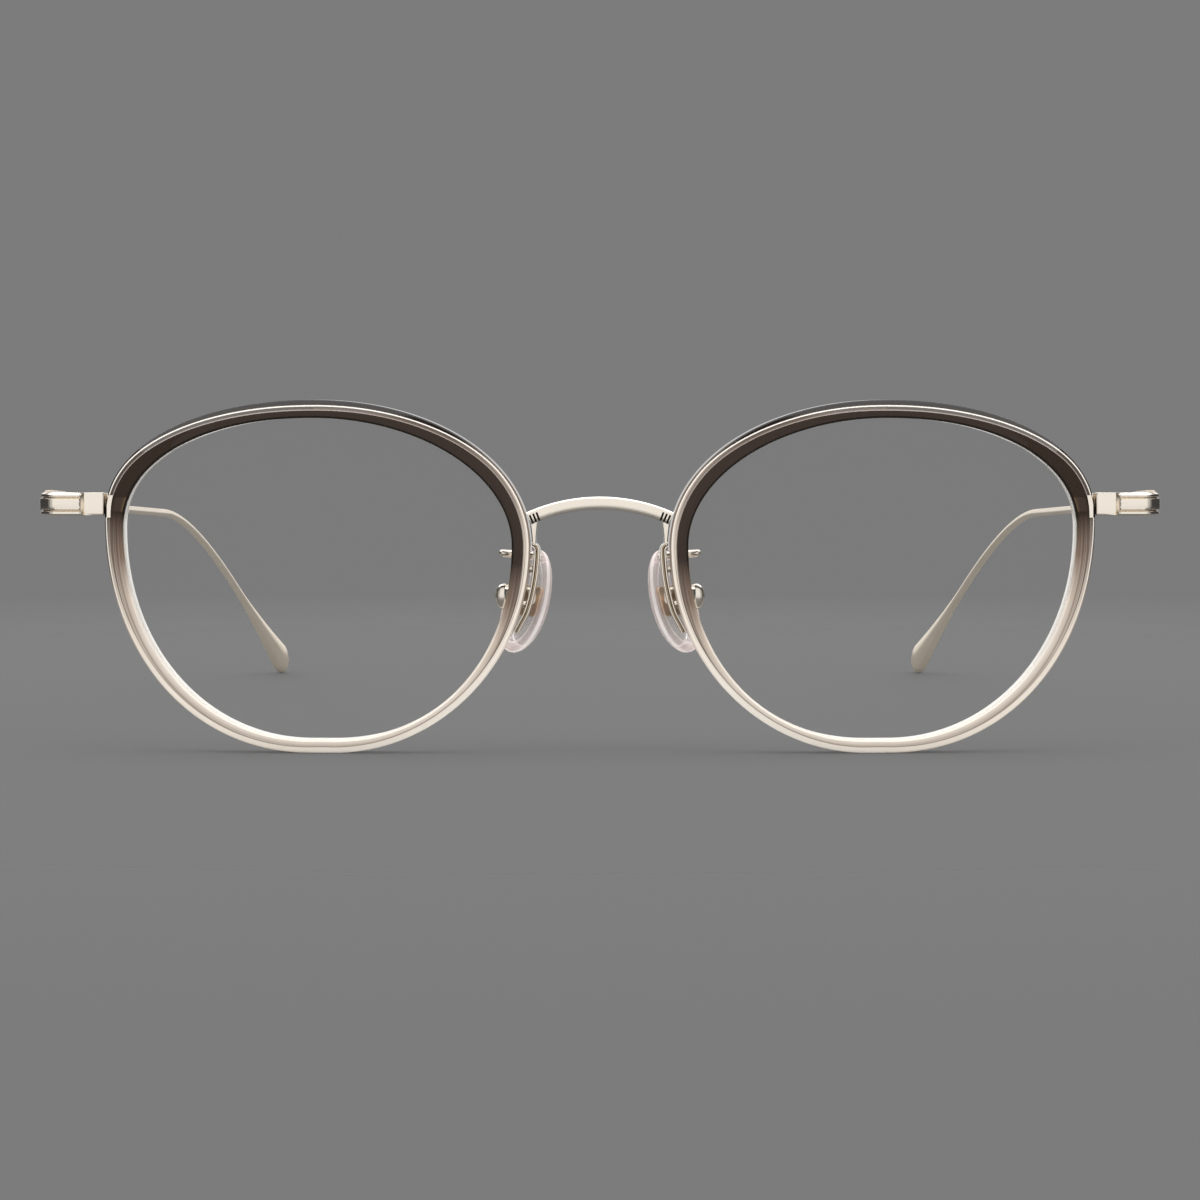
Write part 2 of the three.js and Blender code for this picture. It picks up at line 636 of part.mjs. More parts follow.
function bridge() {
  const steps = QUARTER_STEPS;
  const [halfHeight, halfDepth] = [BRIDGE_HEIGHT / 2, BRIDGE_DEPTH / 2];
  const section = [
    [-halfHeight, BRIDGE_EDGE - halfDepth],
    [BRIDGE_EDGE - halfHeight, -halfDepth],
    [halfHeight - 2 * BRIDGE_EDGE, -halfDepth],
    [halfHeight - BRIDGE_EDGE / 2, BRIDGE_EDGE / 2 - halfDepth],
    [halfHeight, 2 * BRIDGE_EDGE - halfDepth],
    [halfHeight, halfDepth - BRIDGE_EDGE],
    [halfHeight - BRIDGE_EDGE, halfDepth],
    [BRIDGE_EDGE - halfHeight, halfDepth],
    [-halfHeight, halfDepth - BRIDGE_EDGE],
  ];
  const outOf = (x) => vec(x, 0, bridgeZ(x) - bridgeCentreZ).normalize();
  const at = (x, height, depth) =>
    vec(x, bridgeFrontY + halfDepth + depth, bridgeZ(x)).addScaledVector(outOf(x), height);
  const rings = [];
  for (let i = 0; i <= steps; i++) {
    const x = lerp(-bridgeEndX, bridgeEndX, i / steps);
    rings.push(section.map(([height, depth]) => at(x, height, depth)));
  }
  const slots = [];
  for (const side of [-1, 1]) {
    for (let number = 0; number < BRIDGE_SLOTS; number++) {
      const x = side * (bridgeEndX - BRIDGE_SLOT_MARGIN - BRIDGE_SLOT_WIDTH / 2 - number * BRIDGE_SLOT_PITCH);
      const out = outOf(x);
      const along = out.clone().cross(vec(0, 1, 0));
      const size = [BRIDGE_SLOT_WIDTH, 2 * BRIDGE_SLOT_DEPTH, 2 * BRIDGE_HEIGHT];
      const middle = halfHeight - BRIDGE_SLOT_LAND - BRIDGE_HEIGHT;
      slots.push(box(at(x, middle, -halfDepth), [along, vec(0, 1, 0), out], size));
    }
  }
  return cut(loft(rings), ...slots);
}

// Nose pad: its own directions, long up the nose, wide towards the back, and out to the arm

const splay = degrees(PAD_SPLAY);
const lean = degrees(PAD_LEAN);
const padWide = vec(Math.sin(splay), Math.cos(splay), 0);
const levelOut = vec(Math.cos(splay), -Math.sin(splay), 0);
const padLong = UP.clone().multiplyScalar(Math.cos(lean)).addScaledVector(levelOut, -Math.sin(lean));
const padOut = levelOut.clone().multiplyScalar(Math.cos(lean)).addScaledVector(UP, Math.sin(lean));
const padMiddle = place(noseSide(PAD_LEVEL) + PAD_INSET, PAD_LEVEL, PAD_SETBACK);
const inPad = (long, wide, out) =>
  padMiddle.clone().addScaledVector(padLong, long).addScaledVector(padWide, wide).addScaledVector(padOut, out);

const insertSeat = PAD_BACK - INSERT_THICKNESS;

function insertPlate(clearance, outer) {
  const thickness = outer - insertSeat + clearance;
  return box(
    inPad(0, 0, outer - thickness / 2),
    [padLong, padWide, padOut],
    [INSERT_LENGTH + 2 * clearance, INSERT_WIDTH + 2 * clearance, thickness],
  );
}

// A drop-shaped cushion, wider below its middle, crowned on the side that meets the nose.
function nosePad() {
  const ring = (share, out) => {
    const points = [];
    for (let i = 0; i < 2 * WIRE_STEPS; i++) {
      const angle = (Math.PI * i) / WIRE_STEPS;
      const long = Math.cos(angle);
      const wide = Math.sin(angle) * (1 - 0.14 * long);
      points.push(inPad((long * share * PAD_LENGTH) / 2, (wide * share * PAD_WIDTH) / 2, out));
    }
    return points;
  };
  const body = loft(
    [
      ring(0.55, PAD_BACK),
      ring(0.86, PAD_BACK),
      ring(0.97, PAD_BACK * 0.6),
      ring(1, 0),
      ring(0.95, -PAD_FACE * 0.45),
      ring(0.8, -PAD_FACE * 0.76),
      ring(0.5, -PAD_FACE * 0.95),
    ],
    { tips: [inPad(0, 0, PAD_BACK), inPad(0, 0, -PAD_FACE)] },
  );
  return cut(body, insertPlate(SEAT_CLEARANCE, PAD_BACK + pastSide));
}

const padBore = PAD_SCREW_DIAMETER + 2 * TURNING_CLEARANCE;
const boxInner = TAB_THICKNESS + 2 * TURNING_CLEARANCE;
const boxOuter = boxInner + 2 * BOX_CHEEK;
const boxTop = PAD_SCREW_HEIGHT + TAB_RADIUS + 2 * TURNING_CLEARANCE;

const acrossPad = (out, from, to, diameter) => rod(inPad(0, from, out), inPad(0, to, out), diameter);

// The insert's eye stands up between the cheeks of the box and turns on the pad screw.
function padInsert() {
  const stem = box(
    inPad(0, 0, (insertSeat + PAD_SCREW_HEIGHT) / 2),
    [padLong, padWide, padOut],
    [2 * TAB_RADIUS, TAB_THICKNESS, PAD_SCREW_HEIGHT - insertSeat],
  );
  const eye = acrossPad(PAD_SCREW_HEIGHT, -TAB_THICKNESS / 2, TAB_THICKNESS / 2, 2 * TAB_RADIUS);
  const bore = acrossPad(PAD_SCREW_HEIGHT, -TAB_THICKNESS, TAB_THICKNESS, padBore);
  return cut(join(insertPlate(0, PAD_BACK), stem, eye), bore);
}

function padScrew() {
  const made = screw(PAD_SCREW_DIAMETER, PAD_SCREW_HEAD, PAD_SCREW_HEAD_HEIGHT, boxOuter + SOLDER_GAP);
  const turn = new THREE.Matrix4().makeBasis(padLong, padOut, padWide);
  turn.setPosition(inPad(0, boxOuter / 2 + SOLDER_GAP, PAD_SCREW_HEIGHT));
  return made.applyMatrix4(turn);
}

// Pad arm: a swaged wire from the bracket, round behind the rim, to the box that holds the pad

function padArm() {
  const v = ARM_LEVEL;
  const inner = sideAt(opening, "nose", v);
  const behind = behindRim + ARM_THICKNESS / 2;
  const root = BRACKET_SETBACK + BRACKET_WIRE_DEPTH + SOLDER_GAP;
  const floor = inPad(0, 0, boxTop + BOX_FLOOR / 2);
  const loop = place(inner + ARM_LOOP_REACH, v, 0);
  loop.y = (place(inner, v, behind).y + floor.y) / 2;
  loop.z = (loop.z + floor.z) / 2;
  const path = new THREE.CatmullRomCurve3(
    [
      wireMiddle(v, root),
      wireMiddle(v, lerp(root, behind, 0.45)),
      place(lerp(noseSide(v), inner, 0.2), v, behind),
      place(lerp(noseSide(v), inner, 0.85), v, behind),
      loop,
      floor,
    ],
    false,
    "centripetal",
  );
  const steps = QUARTER_STEPS;
  const rings = [];
  for (let i = 0; i <= steps; i++) {
    const share = i / steps;
    const at = path.getPoint(share);
    const along = path.getTangent(share);
    const across = along.clone().cross(UP).normalize();
    const up = across.clone().cross(along);
    const swage = THREE.MathUtils.smoothstep(share, 0.45, 0.75);
    const halfThickness = lerp(ARM_THICKNESS, ARM_LOOP_THICKNESS, swage) / 2;
    const halfHeight = lerp(ARM_HEIGHT, ARM_LOOP_HEIGHT, swage) / 2;
    rings.push(ovalRing(at, across, up, halfThickness, halfHeight, 2.4));
  }
  const holder = box(
    inPad(0, 0, (PAD_BACK + boxTop + BOX_FLOOR) / 2 + pastSide),
    [padLong, padWide, padOut],
    [BOX_LENGTH, boxOuter, boxTop + BOX_FLOOR - PAD_BACK - 2 * pastSide],
  );
  const channel = box(
    inPad(0, 0, boxTop / 2),
    [padLong, padWide, padOut],
    [2 * BOX_LENGTH, boxInner, boxTop],
  );
  const bore = acrossPad(PAD_SCREW_HEIGHT, -boxOuter, boxOuter, padBore);
  return cut(join(loft(rings), holder), channel, bore);
}

// End piece: a saddle on the rim's flank with a tongue sunk in the acetate, a block and a ribbed bar to the hinge

const endRoot = place(endSide, END_LEVEL, END_SETBACK);
const endFrontY = endRoot.y;
const endOuterX = endRoot.x + END_REACH;
const endZ = LENS_Z + END_LEVEL;
const hingeFaceY = endFrontY + END_LENGTH_BACK;

function saddle() {
  const steps = 6;
  const levels = [];
  for (let i = 0; i <= steps; i++) levels.push(END_LEVEL - SADDLE_DROP + SADDLE_HEIGHT * (i / steps - 0.5));
  // The line of the flank and the outer wall, moved out by a distance.
  const line = (v, out) => {
    const u = sideAt(rimEdge, "temple", v);
    const middle = FLANK_WIDTH / 2 - FLANK_CROWN;
    return [
      place(u - FLANK_WIDTH, v, -out),
      place(u - middle + out, v, FLANK_DEPTH / 2 - FLANK_CROWN - out),
      place(u + out, v, FLANK_DEPTH - out),
      place(u + out, v, SADDLE_BACK),
    ];
  };
  return loft(
    levels.map((v) => [
      ...line(v, SEAT_CLEARANCE),
      ...line(v, SEAT_CLEARANCE + SADDLE_THICKNESS).reverse(),
    ]),
  );
}

// The bar's outer face runs sideways from the block, turns the corner and runs back to the hinge.
function endBar(blockX) {
  const halfHeight = END_HEIGHT / 2;
  const halfRib = END_RIB_HEIGHT / 2;
  const section = [
    [-halfHeight, END_RIB_RISE],
    [-halfRib, END_RIB_RISE],
    [-halfRib, 0],
    [halfRib, 0],
    [halfRib, END_RIB_RISE],
    [halfHeight, END_RIB_RISE],
    [halfHeight, END_THICKNESS],
    [-halfHeight, END_THICKNESS],
  ];
  const ring = (x, y, out) =>
    section.map(([height, inwards]) => vec(x, y, endZ + height).addScaledVector(out, -inwards));
  const rings = [ring(blockX, endFrontY, vec(0, -1, 0))];
  const steps = QUARTER_STEPS / 3;
  for (let i = 0; i <= steps; i++) {
    const angle = (Math.PI / 2) * (i / steps);
    const out = vec(Math.sin(angle), -Math.cos(angle), 0);
    const centre = vec(endOuterX - END_CORNER, endFrontY + END_CORNER, 0);
    const on = centre.addScaledVector(out, END_CORNER);
    rings.push(ring(on.x, on.y, out));
  }
  rings.push(ring(endOuterX, hingeFaceY - SOLDER_GAP, vec(1, 0, 0)));
  return loft(rings);
}

function endPiece() {
  const saddleX = place(endSide + SADDLE_THICKNESS / 2, END_LEVEL, FLANK_DEPTH).x;
  const neckX = place(endSide + SADDLE_THICKNESS, END_LEVEL, FLANK_DEPTH).x + END_NECK_WIDTH;
  const directions = [vec(1, 0, 0), vec(0, 1, 0), UP];
  const blockBack = endFrontY + END_THICKNESS;
  const blockFront = endFrontY - END_BLOCK_RISE;
  const block = box(
    vec(neckX + END_BLOCK_WIDTH / 2, (blockFront + blockBack) / 2, endZ),
    directions,
    [END_BLOCK_WIDTH, blockBack - blockFront, END_HEIGHT],
  );
  const neckFront = endFrontY + END_NECK_SETBACK;
  const neckBack = place(endSide, END_LEVEL, SADDLE_BACK).y;
  const neck = box(
    vec((saddleX + neckX + END_BLOCK_WIDTH) / 2, (neckFront + neckBack) / 2, endZ),
    directions,
    [neckX + END_BLOCK_WIDTH - saddleX, neckBack - neckFront, END_NECK_HEIGHT],
  );
  const bar = endBar(neckX + END_BLOCK_WIDTH / 2);
  const whole = join(saddle(), neck, block, bar, tongue(0, endSide + SEAT_CLEARANCE + SADDLE_THICKNESS / 2));
  const scoopX = neckX + END_BLOCK_WIDTH;
  const scoopY = blockFront + END_SCOOP_DEPTH - END_SCOOP_RADIUS;
  const scoop = rod(
    vec(scoopX, scoopY, endZ - END_HEIGHT),
    vec(scoopX, scoopY, endZ + END_HEIGHT),
    2 * END_SCOOP_RADIUS,
  );
  return cut(whole, scoop);
}

// Hinge: the pin's axis lies inside the bar, level with the face where the temple meets the end piece

const leafFace = KNUCKLE_RADIUS + TURNING_CLEARANCE; // hinge axis to the inner face of bar and temple
const hingeAxis = vec(endOuterX - Math.max(END_THICKNESS, TEMPLE_THICKNESS) - leafFace, hingeFaceY, endZ);
const hingeBore = HINGE_SCREW_DIAMETER + 2 * TURNING_CLEARANCE;
const washerGap = WASHER_THICKNESS + 2 * SOLDER_GAP;
const stackTop = KNUCKLE_TEMPLE_HEIGHT / 2 + washerGap + KNUCKLE_FRONT_HEIGHT;

// A knuckle with its web to the leaf, from z0 up, on the front side (-1) or the temple side (1) of the axis.
function knuckle(side, z0, height) {
  const right = leafFace - SOLDER_GAP;
  const far = side * HINGE_LEAF_LENGTH;
  const shape = new THREE.Shape();
  shape.moveTo(right, far);
  shape.lineTo(right, 0);
  shape.absarc(0, 0, KNUCKLE_RADIUS, 0, Math.PI, side > 0);
  shape.lineTo(right - HINGE_LEAF_THICKNESS, far);
  const bore = new THREE.Path().absarc(0, 0, hingeBore / 2, 0, 2 * Math.PI);
  shape.holes.push(bore);
  const extruded = new THREE.ExtrudeGeometry(shape, { depth: height, bevelEnabled: false, curveSegments: ROUND_STEPS });
  return bare(extruded.translate(0, 0, z0));
}

// The plate that joins a leaf's knuckles and lies on the bar or the temple.
function leafPlate(side, height) {
  const near = KNUCKLE_RADIUS + 2 * TURNING_CLEARANCE;
  return box(
    vec(leafFace - SOLDER_GAP - HINGE_LEAF_THICKNESS / 2, (side * (near + HINGE_LEAF_LENGTH)) / 2, 0),
    [vec(1, 0, 0), vec(0, 1, 0), UP],
    [HINGE_LEAF_THICKNESS, HINGE_LEAF_LENGTH - near, height],
  );
}

const atHinge = (geometry) => geometry.translate(hingeAxis.x, hingeAxis.y, hingeAxis.z);

function frontLeaf() {
  const low = stackTop - KNUCKLE_FRONT_HEIGHT;
  return atHinge(
    join(
      knuckle(-1, low, KNUCKLE_FRONT_HEIGHT),
      knuckle(-1, -stackTop, KNUCKLE_FRONT_HEIGHT),
      leafPlate(-1, 2 * stackTop),
    ),
  );
}

function templeLeaf() {
  const middle = knuckle(1, -KNUCKLE_TEMPLE_HEIGHT / 2, KNUCKLE_TEMPLE_HEIGHT);
  const plate = leafPlate(1, KNUCKLE_TEMPLE_HEIGHT + KNUCKLE_FRONT_HEIGHT);
  return atHinge(join(middle, plate).rotateZ(degrees(TEMPLE_SWEEP)));
}

function washer(side) {
  const [inner, outer] = [hingeBore / 2, KNUCKLE_RADIUS - TURNING_CLEARANCE];
  const low = side * (KNUCKLE_TEMPLE_HEIGHT / 2 + washerGap / 2) - WASHER_THICKNESS / 2;
  const profile = [
    [inner, low],
    [outer, low],
    [outer, low + WASHER_THICKNESS],
    [inner, low + WASHER_THICKNESS],
    [inner, low],
  ].map(([r, z]) => new THREE.Vector2(r, z));
  return atHinge(bare(new THREE.LatheGeometry(profile, ROUND_STEPS).rotateX(Math.PI / 2)));
}

function hingeScrew() {
  const made = screw(
    HINGE_SCREW_DIAMETER,
    HINGE_SCREW_HEAD,
    HINGE_SCREW_HEAD_HEIGHT,
    2 * stackTop + SOLDER_GAP + HINGE_SCREW_TAIL,
  );
  return atHinge(made.translate(0, 0, stackTop + SOLDER_GAP));
}

// Temple: a plate at the hinge that thins to a wire, bends down behind the ear and ends in a flat tip

// A direction to the back, sloping down and turning in by two angles.
function backwards(down, inwards) {
  const [d, i] = [degrees(down), degrees(inwards)];
  return vec(-Math.sin(i) * Math.cos(d), Math.cos(i) * Math.cos(d), -Math.sin(d));
}

function templePath() {
  const start = vec(endOuterX - TEMPLE_THICKNESS / 2, hingeFaceY + SOLDER_GAP, endZ);
  const first = backwards(TEMPLE_SLOPE, TEMPLE_SWEEP);
  const second = backwards(TEMPLE_DROP, TEMPLE_TUCK);
  const corner = start.clone().addScaledVector(first, TEMPLE_STRAIGHT);
  const drop = (corner.z - TIP_REST) / Math.sin(degrees(TEMPLE_DROP));
  const end = corner.clone().addScaledVector(second, drop);
  const bendStart = corner.clone().addScaledVector(first, -TEMPLE_BEND);
  const bendEnd = corner.clone().addScaledVector(second, TEMPLE_BEND);
  const path = new THREE.CurvePath();
  path.add(new THREE.LineCurve3(start, bendStart));
  path.add(new THREE.QuadraticBezierCurve3(bendStart, corner, bendEnd));
  path.add(new THREE.LineCurve3(bendEnd, end));
  return path;
}

function temple() {
  const path = templePath();
  const [toBend, toBendEnd, length] = path.getCurveLengths();
  const taperEnd = TEMPLE_PLATE_LENGTH + TEMPLE_TAPER_LENGTH;
  const tipStart = length - TIP_ROUND;
  const stations = [0, TEMPLE_PLATE_LENGTH];
  for (let i = 1; i <= 6; i++) stations.push(lerp(TEMPLE_PLATE_LENGTH, taperEnd, i / 6));
  for (let i = 0; i <= 10; i++) stations.push(lerp(toBend, toBendEnd, i / 10));
  for (let i = 1; i <= 6; i++) stations.push(lerp(toBendEnd, tipStart, i / 6));
  for (let i = 1; i <= 5; i++) stations.push(tipStart + TIP_ROUND * Math.sin(degrees(16.5 * i)));
  const rings = stations.map((s) => {
    const share = s / length;
    const at = path.getPointAt(share);
    const along = path.getTangentAt(share);
    const across = along.clone().cross(UP).normalize();
    const up = across.clone().cross(along);
    const thin = THREE.MathUtils.smoothstep(s, TEMPLE_PLATE_LENGTH, taperEnd);
    const flare = THREE.MathUtils.clamp((s - toBendEnd) / (tipStart - toBendEnd), 0, 1) ** 1.6;
    const round = Math.sqrt(Math.max(0, 1 - (Math.max(0, s - tipStart) / TIP_ROUND) ** 2));
    const height = lerp(lerp(TEMPLE_PLATE_HEIGHT, TEMPLE_WIRE, thin), TIP_WIDTH, flare) * round;
    const thickness = lerp(lerp(TEMPLE_THICKNESS, TEMPLE_WIRE, thin), TIP_THICKNESS, flare) * round;
    return ovalRing(at, across, up, thickness / 2, height / 2, lerp(7, 2, thin));
  });
  // The first ring lies in the hinge face.
  for (const p of rings[0]) p.y = hingeFaceY + SOLDER_GAP;
  return loft(rings, { tips: [path.getPointAt(0), path.getPointAt(1)] });
}

// One side of the glasses: the name of each piece, its shape and its material
const sidePieces = {
  rim: [rim(), acetate],
  lens: [lens(), lensPlastic],
  nose_bracket: [noseBracket(), goldMetal],
  bracket_pin_upper: [bracketPin(BRACKET_PIN_UPPER_LEVEL, 0), goldMetal],
  bracket_pin_lower: [bracketPin(BRACKET_PIN_LOWER_LEVEL, 0), goldMetal],
  pad_arm: [padArm(), goldMetal],
  pad_insert: [padInsert(), goldMetal],
  pad_screw: [padScrew(), goldMetal],
  nose_pad: [nosePad(), silicone],
  end_piece: [endPiece(), goldMetal],
  hinge_leaf_front: [frontLeaf(), goldMetal],
  hinge_leaf_temple: [templeLeaf(), goldMetal],
  hinge_washer_upper: [washer(1), washerNylon],
  hinge_washer_lower: [washer(-1), washerNylon],
  hinge_screw: [hingeScrew(), goldMetal],
  temple: [temple(), satinGold],
};

function piece(name, geometry, material) {
  const mesh = new THREE.Mesh(geometry, material);
  mesh.name = name;
  return mesh;
}

const glasses = new THREE.Group();
glasses.add(piece("bridge", bridge(), goldMetal));
for (const [side, mirror] of [["right", 1], ["left", -1]]) {
  const half = new THREE.Group();
  half.scale.x = mirror;
  for (const [name, [geometry, material]] of Object.entries(sidePieces)) {
    half.add(piece(`${name}_${side}`, geometry, material));
  }
  glasses.add(half);
}

// The origin is on the table, in the middle of the part's depth and width.
const extent = new THREE.Box3().setFromObject(glasses);
glasses.position.y = -(extent.min.y + extent.max.y) / 2;

const eyeglasses = new THREE.Group();
eyeglasses.add(glasses);

export default eyeglasses;
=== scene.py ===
import json
import math
import bmesh
import bpy
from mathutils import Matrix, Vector


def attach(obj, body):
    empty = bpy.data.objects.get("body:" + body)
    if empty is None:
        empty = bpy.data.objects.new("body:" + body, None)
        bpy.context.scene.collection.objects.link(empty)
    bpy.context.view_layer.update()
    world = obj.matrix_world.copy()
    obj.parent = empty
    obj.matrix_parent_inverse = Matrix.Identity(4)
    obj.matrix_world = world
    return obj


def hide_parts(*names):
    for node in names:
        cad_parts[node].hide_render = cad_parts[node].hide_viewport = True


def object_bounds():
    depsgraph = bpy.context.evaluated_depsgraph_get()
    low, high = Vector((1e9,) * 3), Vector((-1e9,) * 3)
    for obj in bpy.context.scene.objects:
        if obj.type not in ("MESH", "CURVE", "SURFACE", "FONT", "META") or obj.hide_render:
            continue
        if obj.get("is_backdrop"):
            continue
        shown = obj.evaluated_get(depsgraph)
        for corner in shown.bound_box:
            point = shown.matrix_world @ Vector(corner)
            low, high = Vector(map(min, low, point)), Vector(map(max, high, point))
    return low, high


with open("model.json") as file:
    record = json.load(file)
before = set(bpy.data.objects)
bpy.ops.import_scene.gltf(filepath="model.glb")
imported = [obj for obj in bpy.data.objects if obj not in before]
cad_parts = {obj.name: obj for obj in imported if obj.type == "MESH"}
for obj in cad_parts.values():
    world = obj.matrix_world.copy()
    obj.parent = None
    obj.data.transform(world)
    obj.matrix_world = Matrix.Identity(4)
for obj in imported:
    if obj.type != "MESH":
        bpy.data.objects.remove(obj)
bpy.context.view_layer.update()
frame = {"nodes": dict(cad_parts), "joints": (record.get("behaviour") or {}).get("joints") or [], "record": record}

# Studio: a plain grey floor that fades into a grey surround of the same tone, soft lights overhead, behind
# the camera and high at the back, and a low one behind the part that reaches its temples. The sides stay
# dim, so that polished edges have something dark to show.
SURROUND = 0.2
PAPER = 0.05
PAPER_GLOW = 0.085
PAPER_BOUNCE = 0.42
SIDE_GLOW = 0.05
FILL_GLOW = 0.8
FLOOR_RADIUS = 0.4
FLOOR_PLACE = (0, 0, -2e-5)
FLOOR_FADE = (0.13, 0.36)
CAMERA_PLACE = (0, -0.57035, 0.0464)
CAMERA_TILT = 3.105
FRONT_PANELS = ((0, 1.6, 0.7), (-1.1, 0.6, 0.4), (1.1, 0.6, 0.4), (-1.75, 0.7, 0.15), (1.75, 0.7, 0.15))


def operator(operation, flipped=False):
    """A sum of two sockets, or of a socket and a number."""

    def result(self, other):
        first, second = (other, self) if flipped else (self, other)
        return self.nodes.math(operation, first, second)

    return result


class Socket:
    """An output of a node that takes part in sums."""

    def __init__(self, nodes, output):
        self.nodes = nodes
        self.output = output

    def __abs__(self):
        return self.nodes.math("ABSOLUTE", self)

    __add__ = __radd__ = operator("ADD")
    __sub__ = operator("SUBTRACT")
    __rsub__ = operator("SUBTRACT", flipped=True)
    __mul__ = __rmul__ = operator("MULTIPLY")
    __truediv__ = operator("DIVIDE")
    __rtruediv__ = operator("DIVIDE", flipped=True)
    __pow__ = operator("POWER")


class Nodes:
    """The nodes of one finish, added one at a time."""

    def __init__(self, tree):
        self.tree = tree
        tree.nodes.clear()

    def add(self, kind, settings=None, sockets=None, output=0):
        node = self.tree.nodes.new("ShaderNode" + kind)
        for name, value in (settings or {}).items():
            if name == "stops":
                self.set_stops(node.color_ramp.elements, value)
            else:
                setattr(node, name, value)
        for name, value in (sockets or {}).items():
            if isinstance(value, Socket):
                self.tree.links.new(value.output, node.inputs[name])
            else:
                node.inputs[name].default_value = value
        return Socket(self, node.outputs[output]) if node.outputs else None

    def set_stops(self, elements, stops):
        first, *middle, last = stops
        elements[0].position, elements[0].color = first
        elements[-1].position, elements[-1].color = last
        for position, colour in middle:
            elements.new(position).color = colour

    def math(self, operation, *values):
        return self.add("Math", {"operation": operation}, dict(enumerate(values)))

    def axes(self, vector):
        return [self.add("SeparateXYZ", sockets={0: vector}, output=axis) for axis in "XYZ"]

    def rays(self, kind):
        return self.add("LightPath", output="Is " + kind + " Ray")

    def noise(self, vector, scale, detail):
        return self.add("TexNoise", sockets={"Vector": vector, "Scale": scale, "Detail": detail})

    def bump(self, height, strength, distance):
        return self.add("Bump", sockets={"Height": height, "Strength": strength, "Distance": distance})

    def ramp(self, value, start, end, low=0.0, high=1.0, kind="LINEAR"):
        """Goes from low to high while a value goes from start to end."""
        sockets = {"Value": value, 1: start, 2: end, 3: low, 4: high}
        return self.add("MapRange", {"interpolation_type": kind}, sockets)

    def mix(self, amount, first, second):
        """One colour where the amount is 0 and another where it is 1."""
        return self.add("Mix", {"data_type": "RGBA"}, {0: amount, 6: first, 7: second}, output=2)

    def surface(self, sockets):
        """Ends a material in one shader."""
        shader = self.add("BsdfPrincipled", sockets=sockets)
        self.add("OutputMaterial", sockets={"Surface": shader})


def new_finish(name):
    """A material with no nodes but the one that says where on the part a spot is."""
    material = bpy.data.materials.new(name)
    material.use_nodes = True
    nodes = Nodes(material.node_tree)
    return material, nodes, nodes.add("TexCoord", output="Object")


def colour(red, green, blue):
    return (red, green, blue, 1)


bpy.ops.object.select_all(action="DESELECT")
bpy.ops.mesh.primitive_circle_add(vertices=96, radius=FLOOR_RADIUS, fill_type="NGON", location=FLOOR_PLACE)
floor = bpy.context.object
floor.name = "studio_floor"
bpy.ops.object.transform_apply(location=True)
floor_paper, nodes, spot = new_finish("grey_paper")
grain = nodes.noise(spot, 900.0, 3.0)
distance = nodes.add("VectorMath", {"operation": "LENGTH"}, {0: spot}, output="Value")
seen = nodes.rays("Camera") + nodes.rays("Transmission") + nodes.rays("Glossy")
nodes.surface(
    {
        "Base Color": nodes.mix(seen, colour(*[PAPER_BOUNCE] * 3), colour(*[PAPER] * 3)),
        "Roughness": grain * 0.1 + 0.85,
        "Specular IOR Level": 0.1,
        "Emission Color": colour(1, 1, 1),
        "Emission Strength": PAPER_GLOW,
        "Alpha": nodes.ramp(distance, *FLOOR_FADE, 1.0, 0.0, "SMOOTHSTEP"),
    }
)
floor.data.materials.append(floor_paper)
floor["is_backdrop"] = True

surround = bpy.data.worlds.new("studio_surround")
bpy.context.scene.world = surround
surround.use_nodes = True
nodes = Nodes(surround.node_tree)
seen = nodes.rays("Camera") + nodes.rays("Transmission")
glossy = nodes.rays("Glossy")
other = glossy * SIDE_GLOW + (1 - glossy) * FILL_GLOW
strength = seen * SURROUND + (1 - seen) * other
glow = nodes.add("Background", sockets={"Color": colour(1, 1, 1), "Strength": strength})
nodes.add("OutputWorld", sockets={"Surface": glow})


def soft_light(name, place, aim, size, radiance):
    """A rectangular softbox whose surface has the given radiance."""
    bpy.ops.object.light_add(type="AREA", location=place)
    light = bpy.context.object
    light.name = name
    light.data.shape = "RECTANGLE"
    light.data.size, light.data.size_y = size
    light.data.energy = 4 * size[0] * size[1] * radiance
    light.rotation_euler = (Vector(aim) - Vector(place)).to_track_quat("-Z", "Y").to_euler()
    light.visible_camera = False


soft_light("overhead_light", (0, -0.1, 1.0), (0, 0, 0), (2.4, 1.0), 2.5)
for x, width, radiance in FRONT_PANELS:
    soft_light("front_light", (x, -1.5, 0.3), (x, 0, 0.3), (width, 1.1), radiance)
soft_light("back_light", (0, 1.2, 0.85), (0, 0, 0.03), (3.2, 0.9), 0.8)
soft_light("temple_light", (0, 0.3, 0.05), (0, 0, 0.05), (0.44, 0.09), 0.6)

bpy.ops.object.camera_add(location=CAMERA_PLACE, rotation=(math.radians(90 - CAMERA_TILT), 0, 0))
camera = bpy.context.object
camera.data.sensor_width = 36
camera.data.lens = 120
camera.data.clip_start = 0.01
bpy.context.scene.camera = camera
bpy.context.scene.view_settings.view_transform = "Standard"

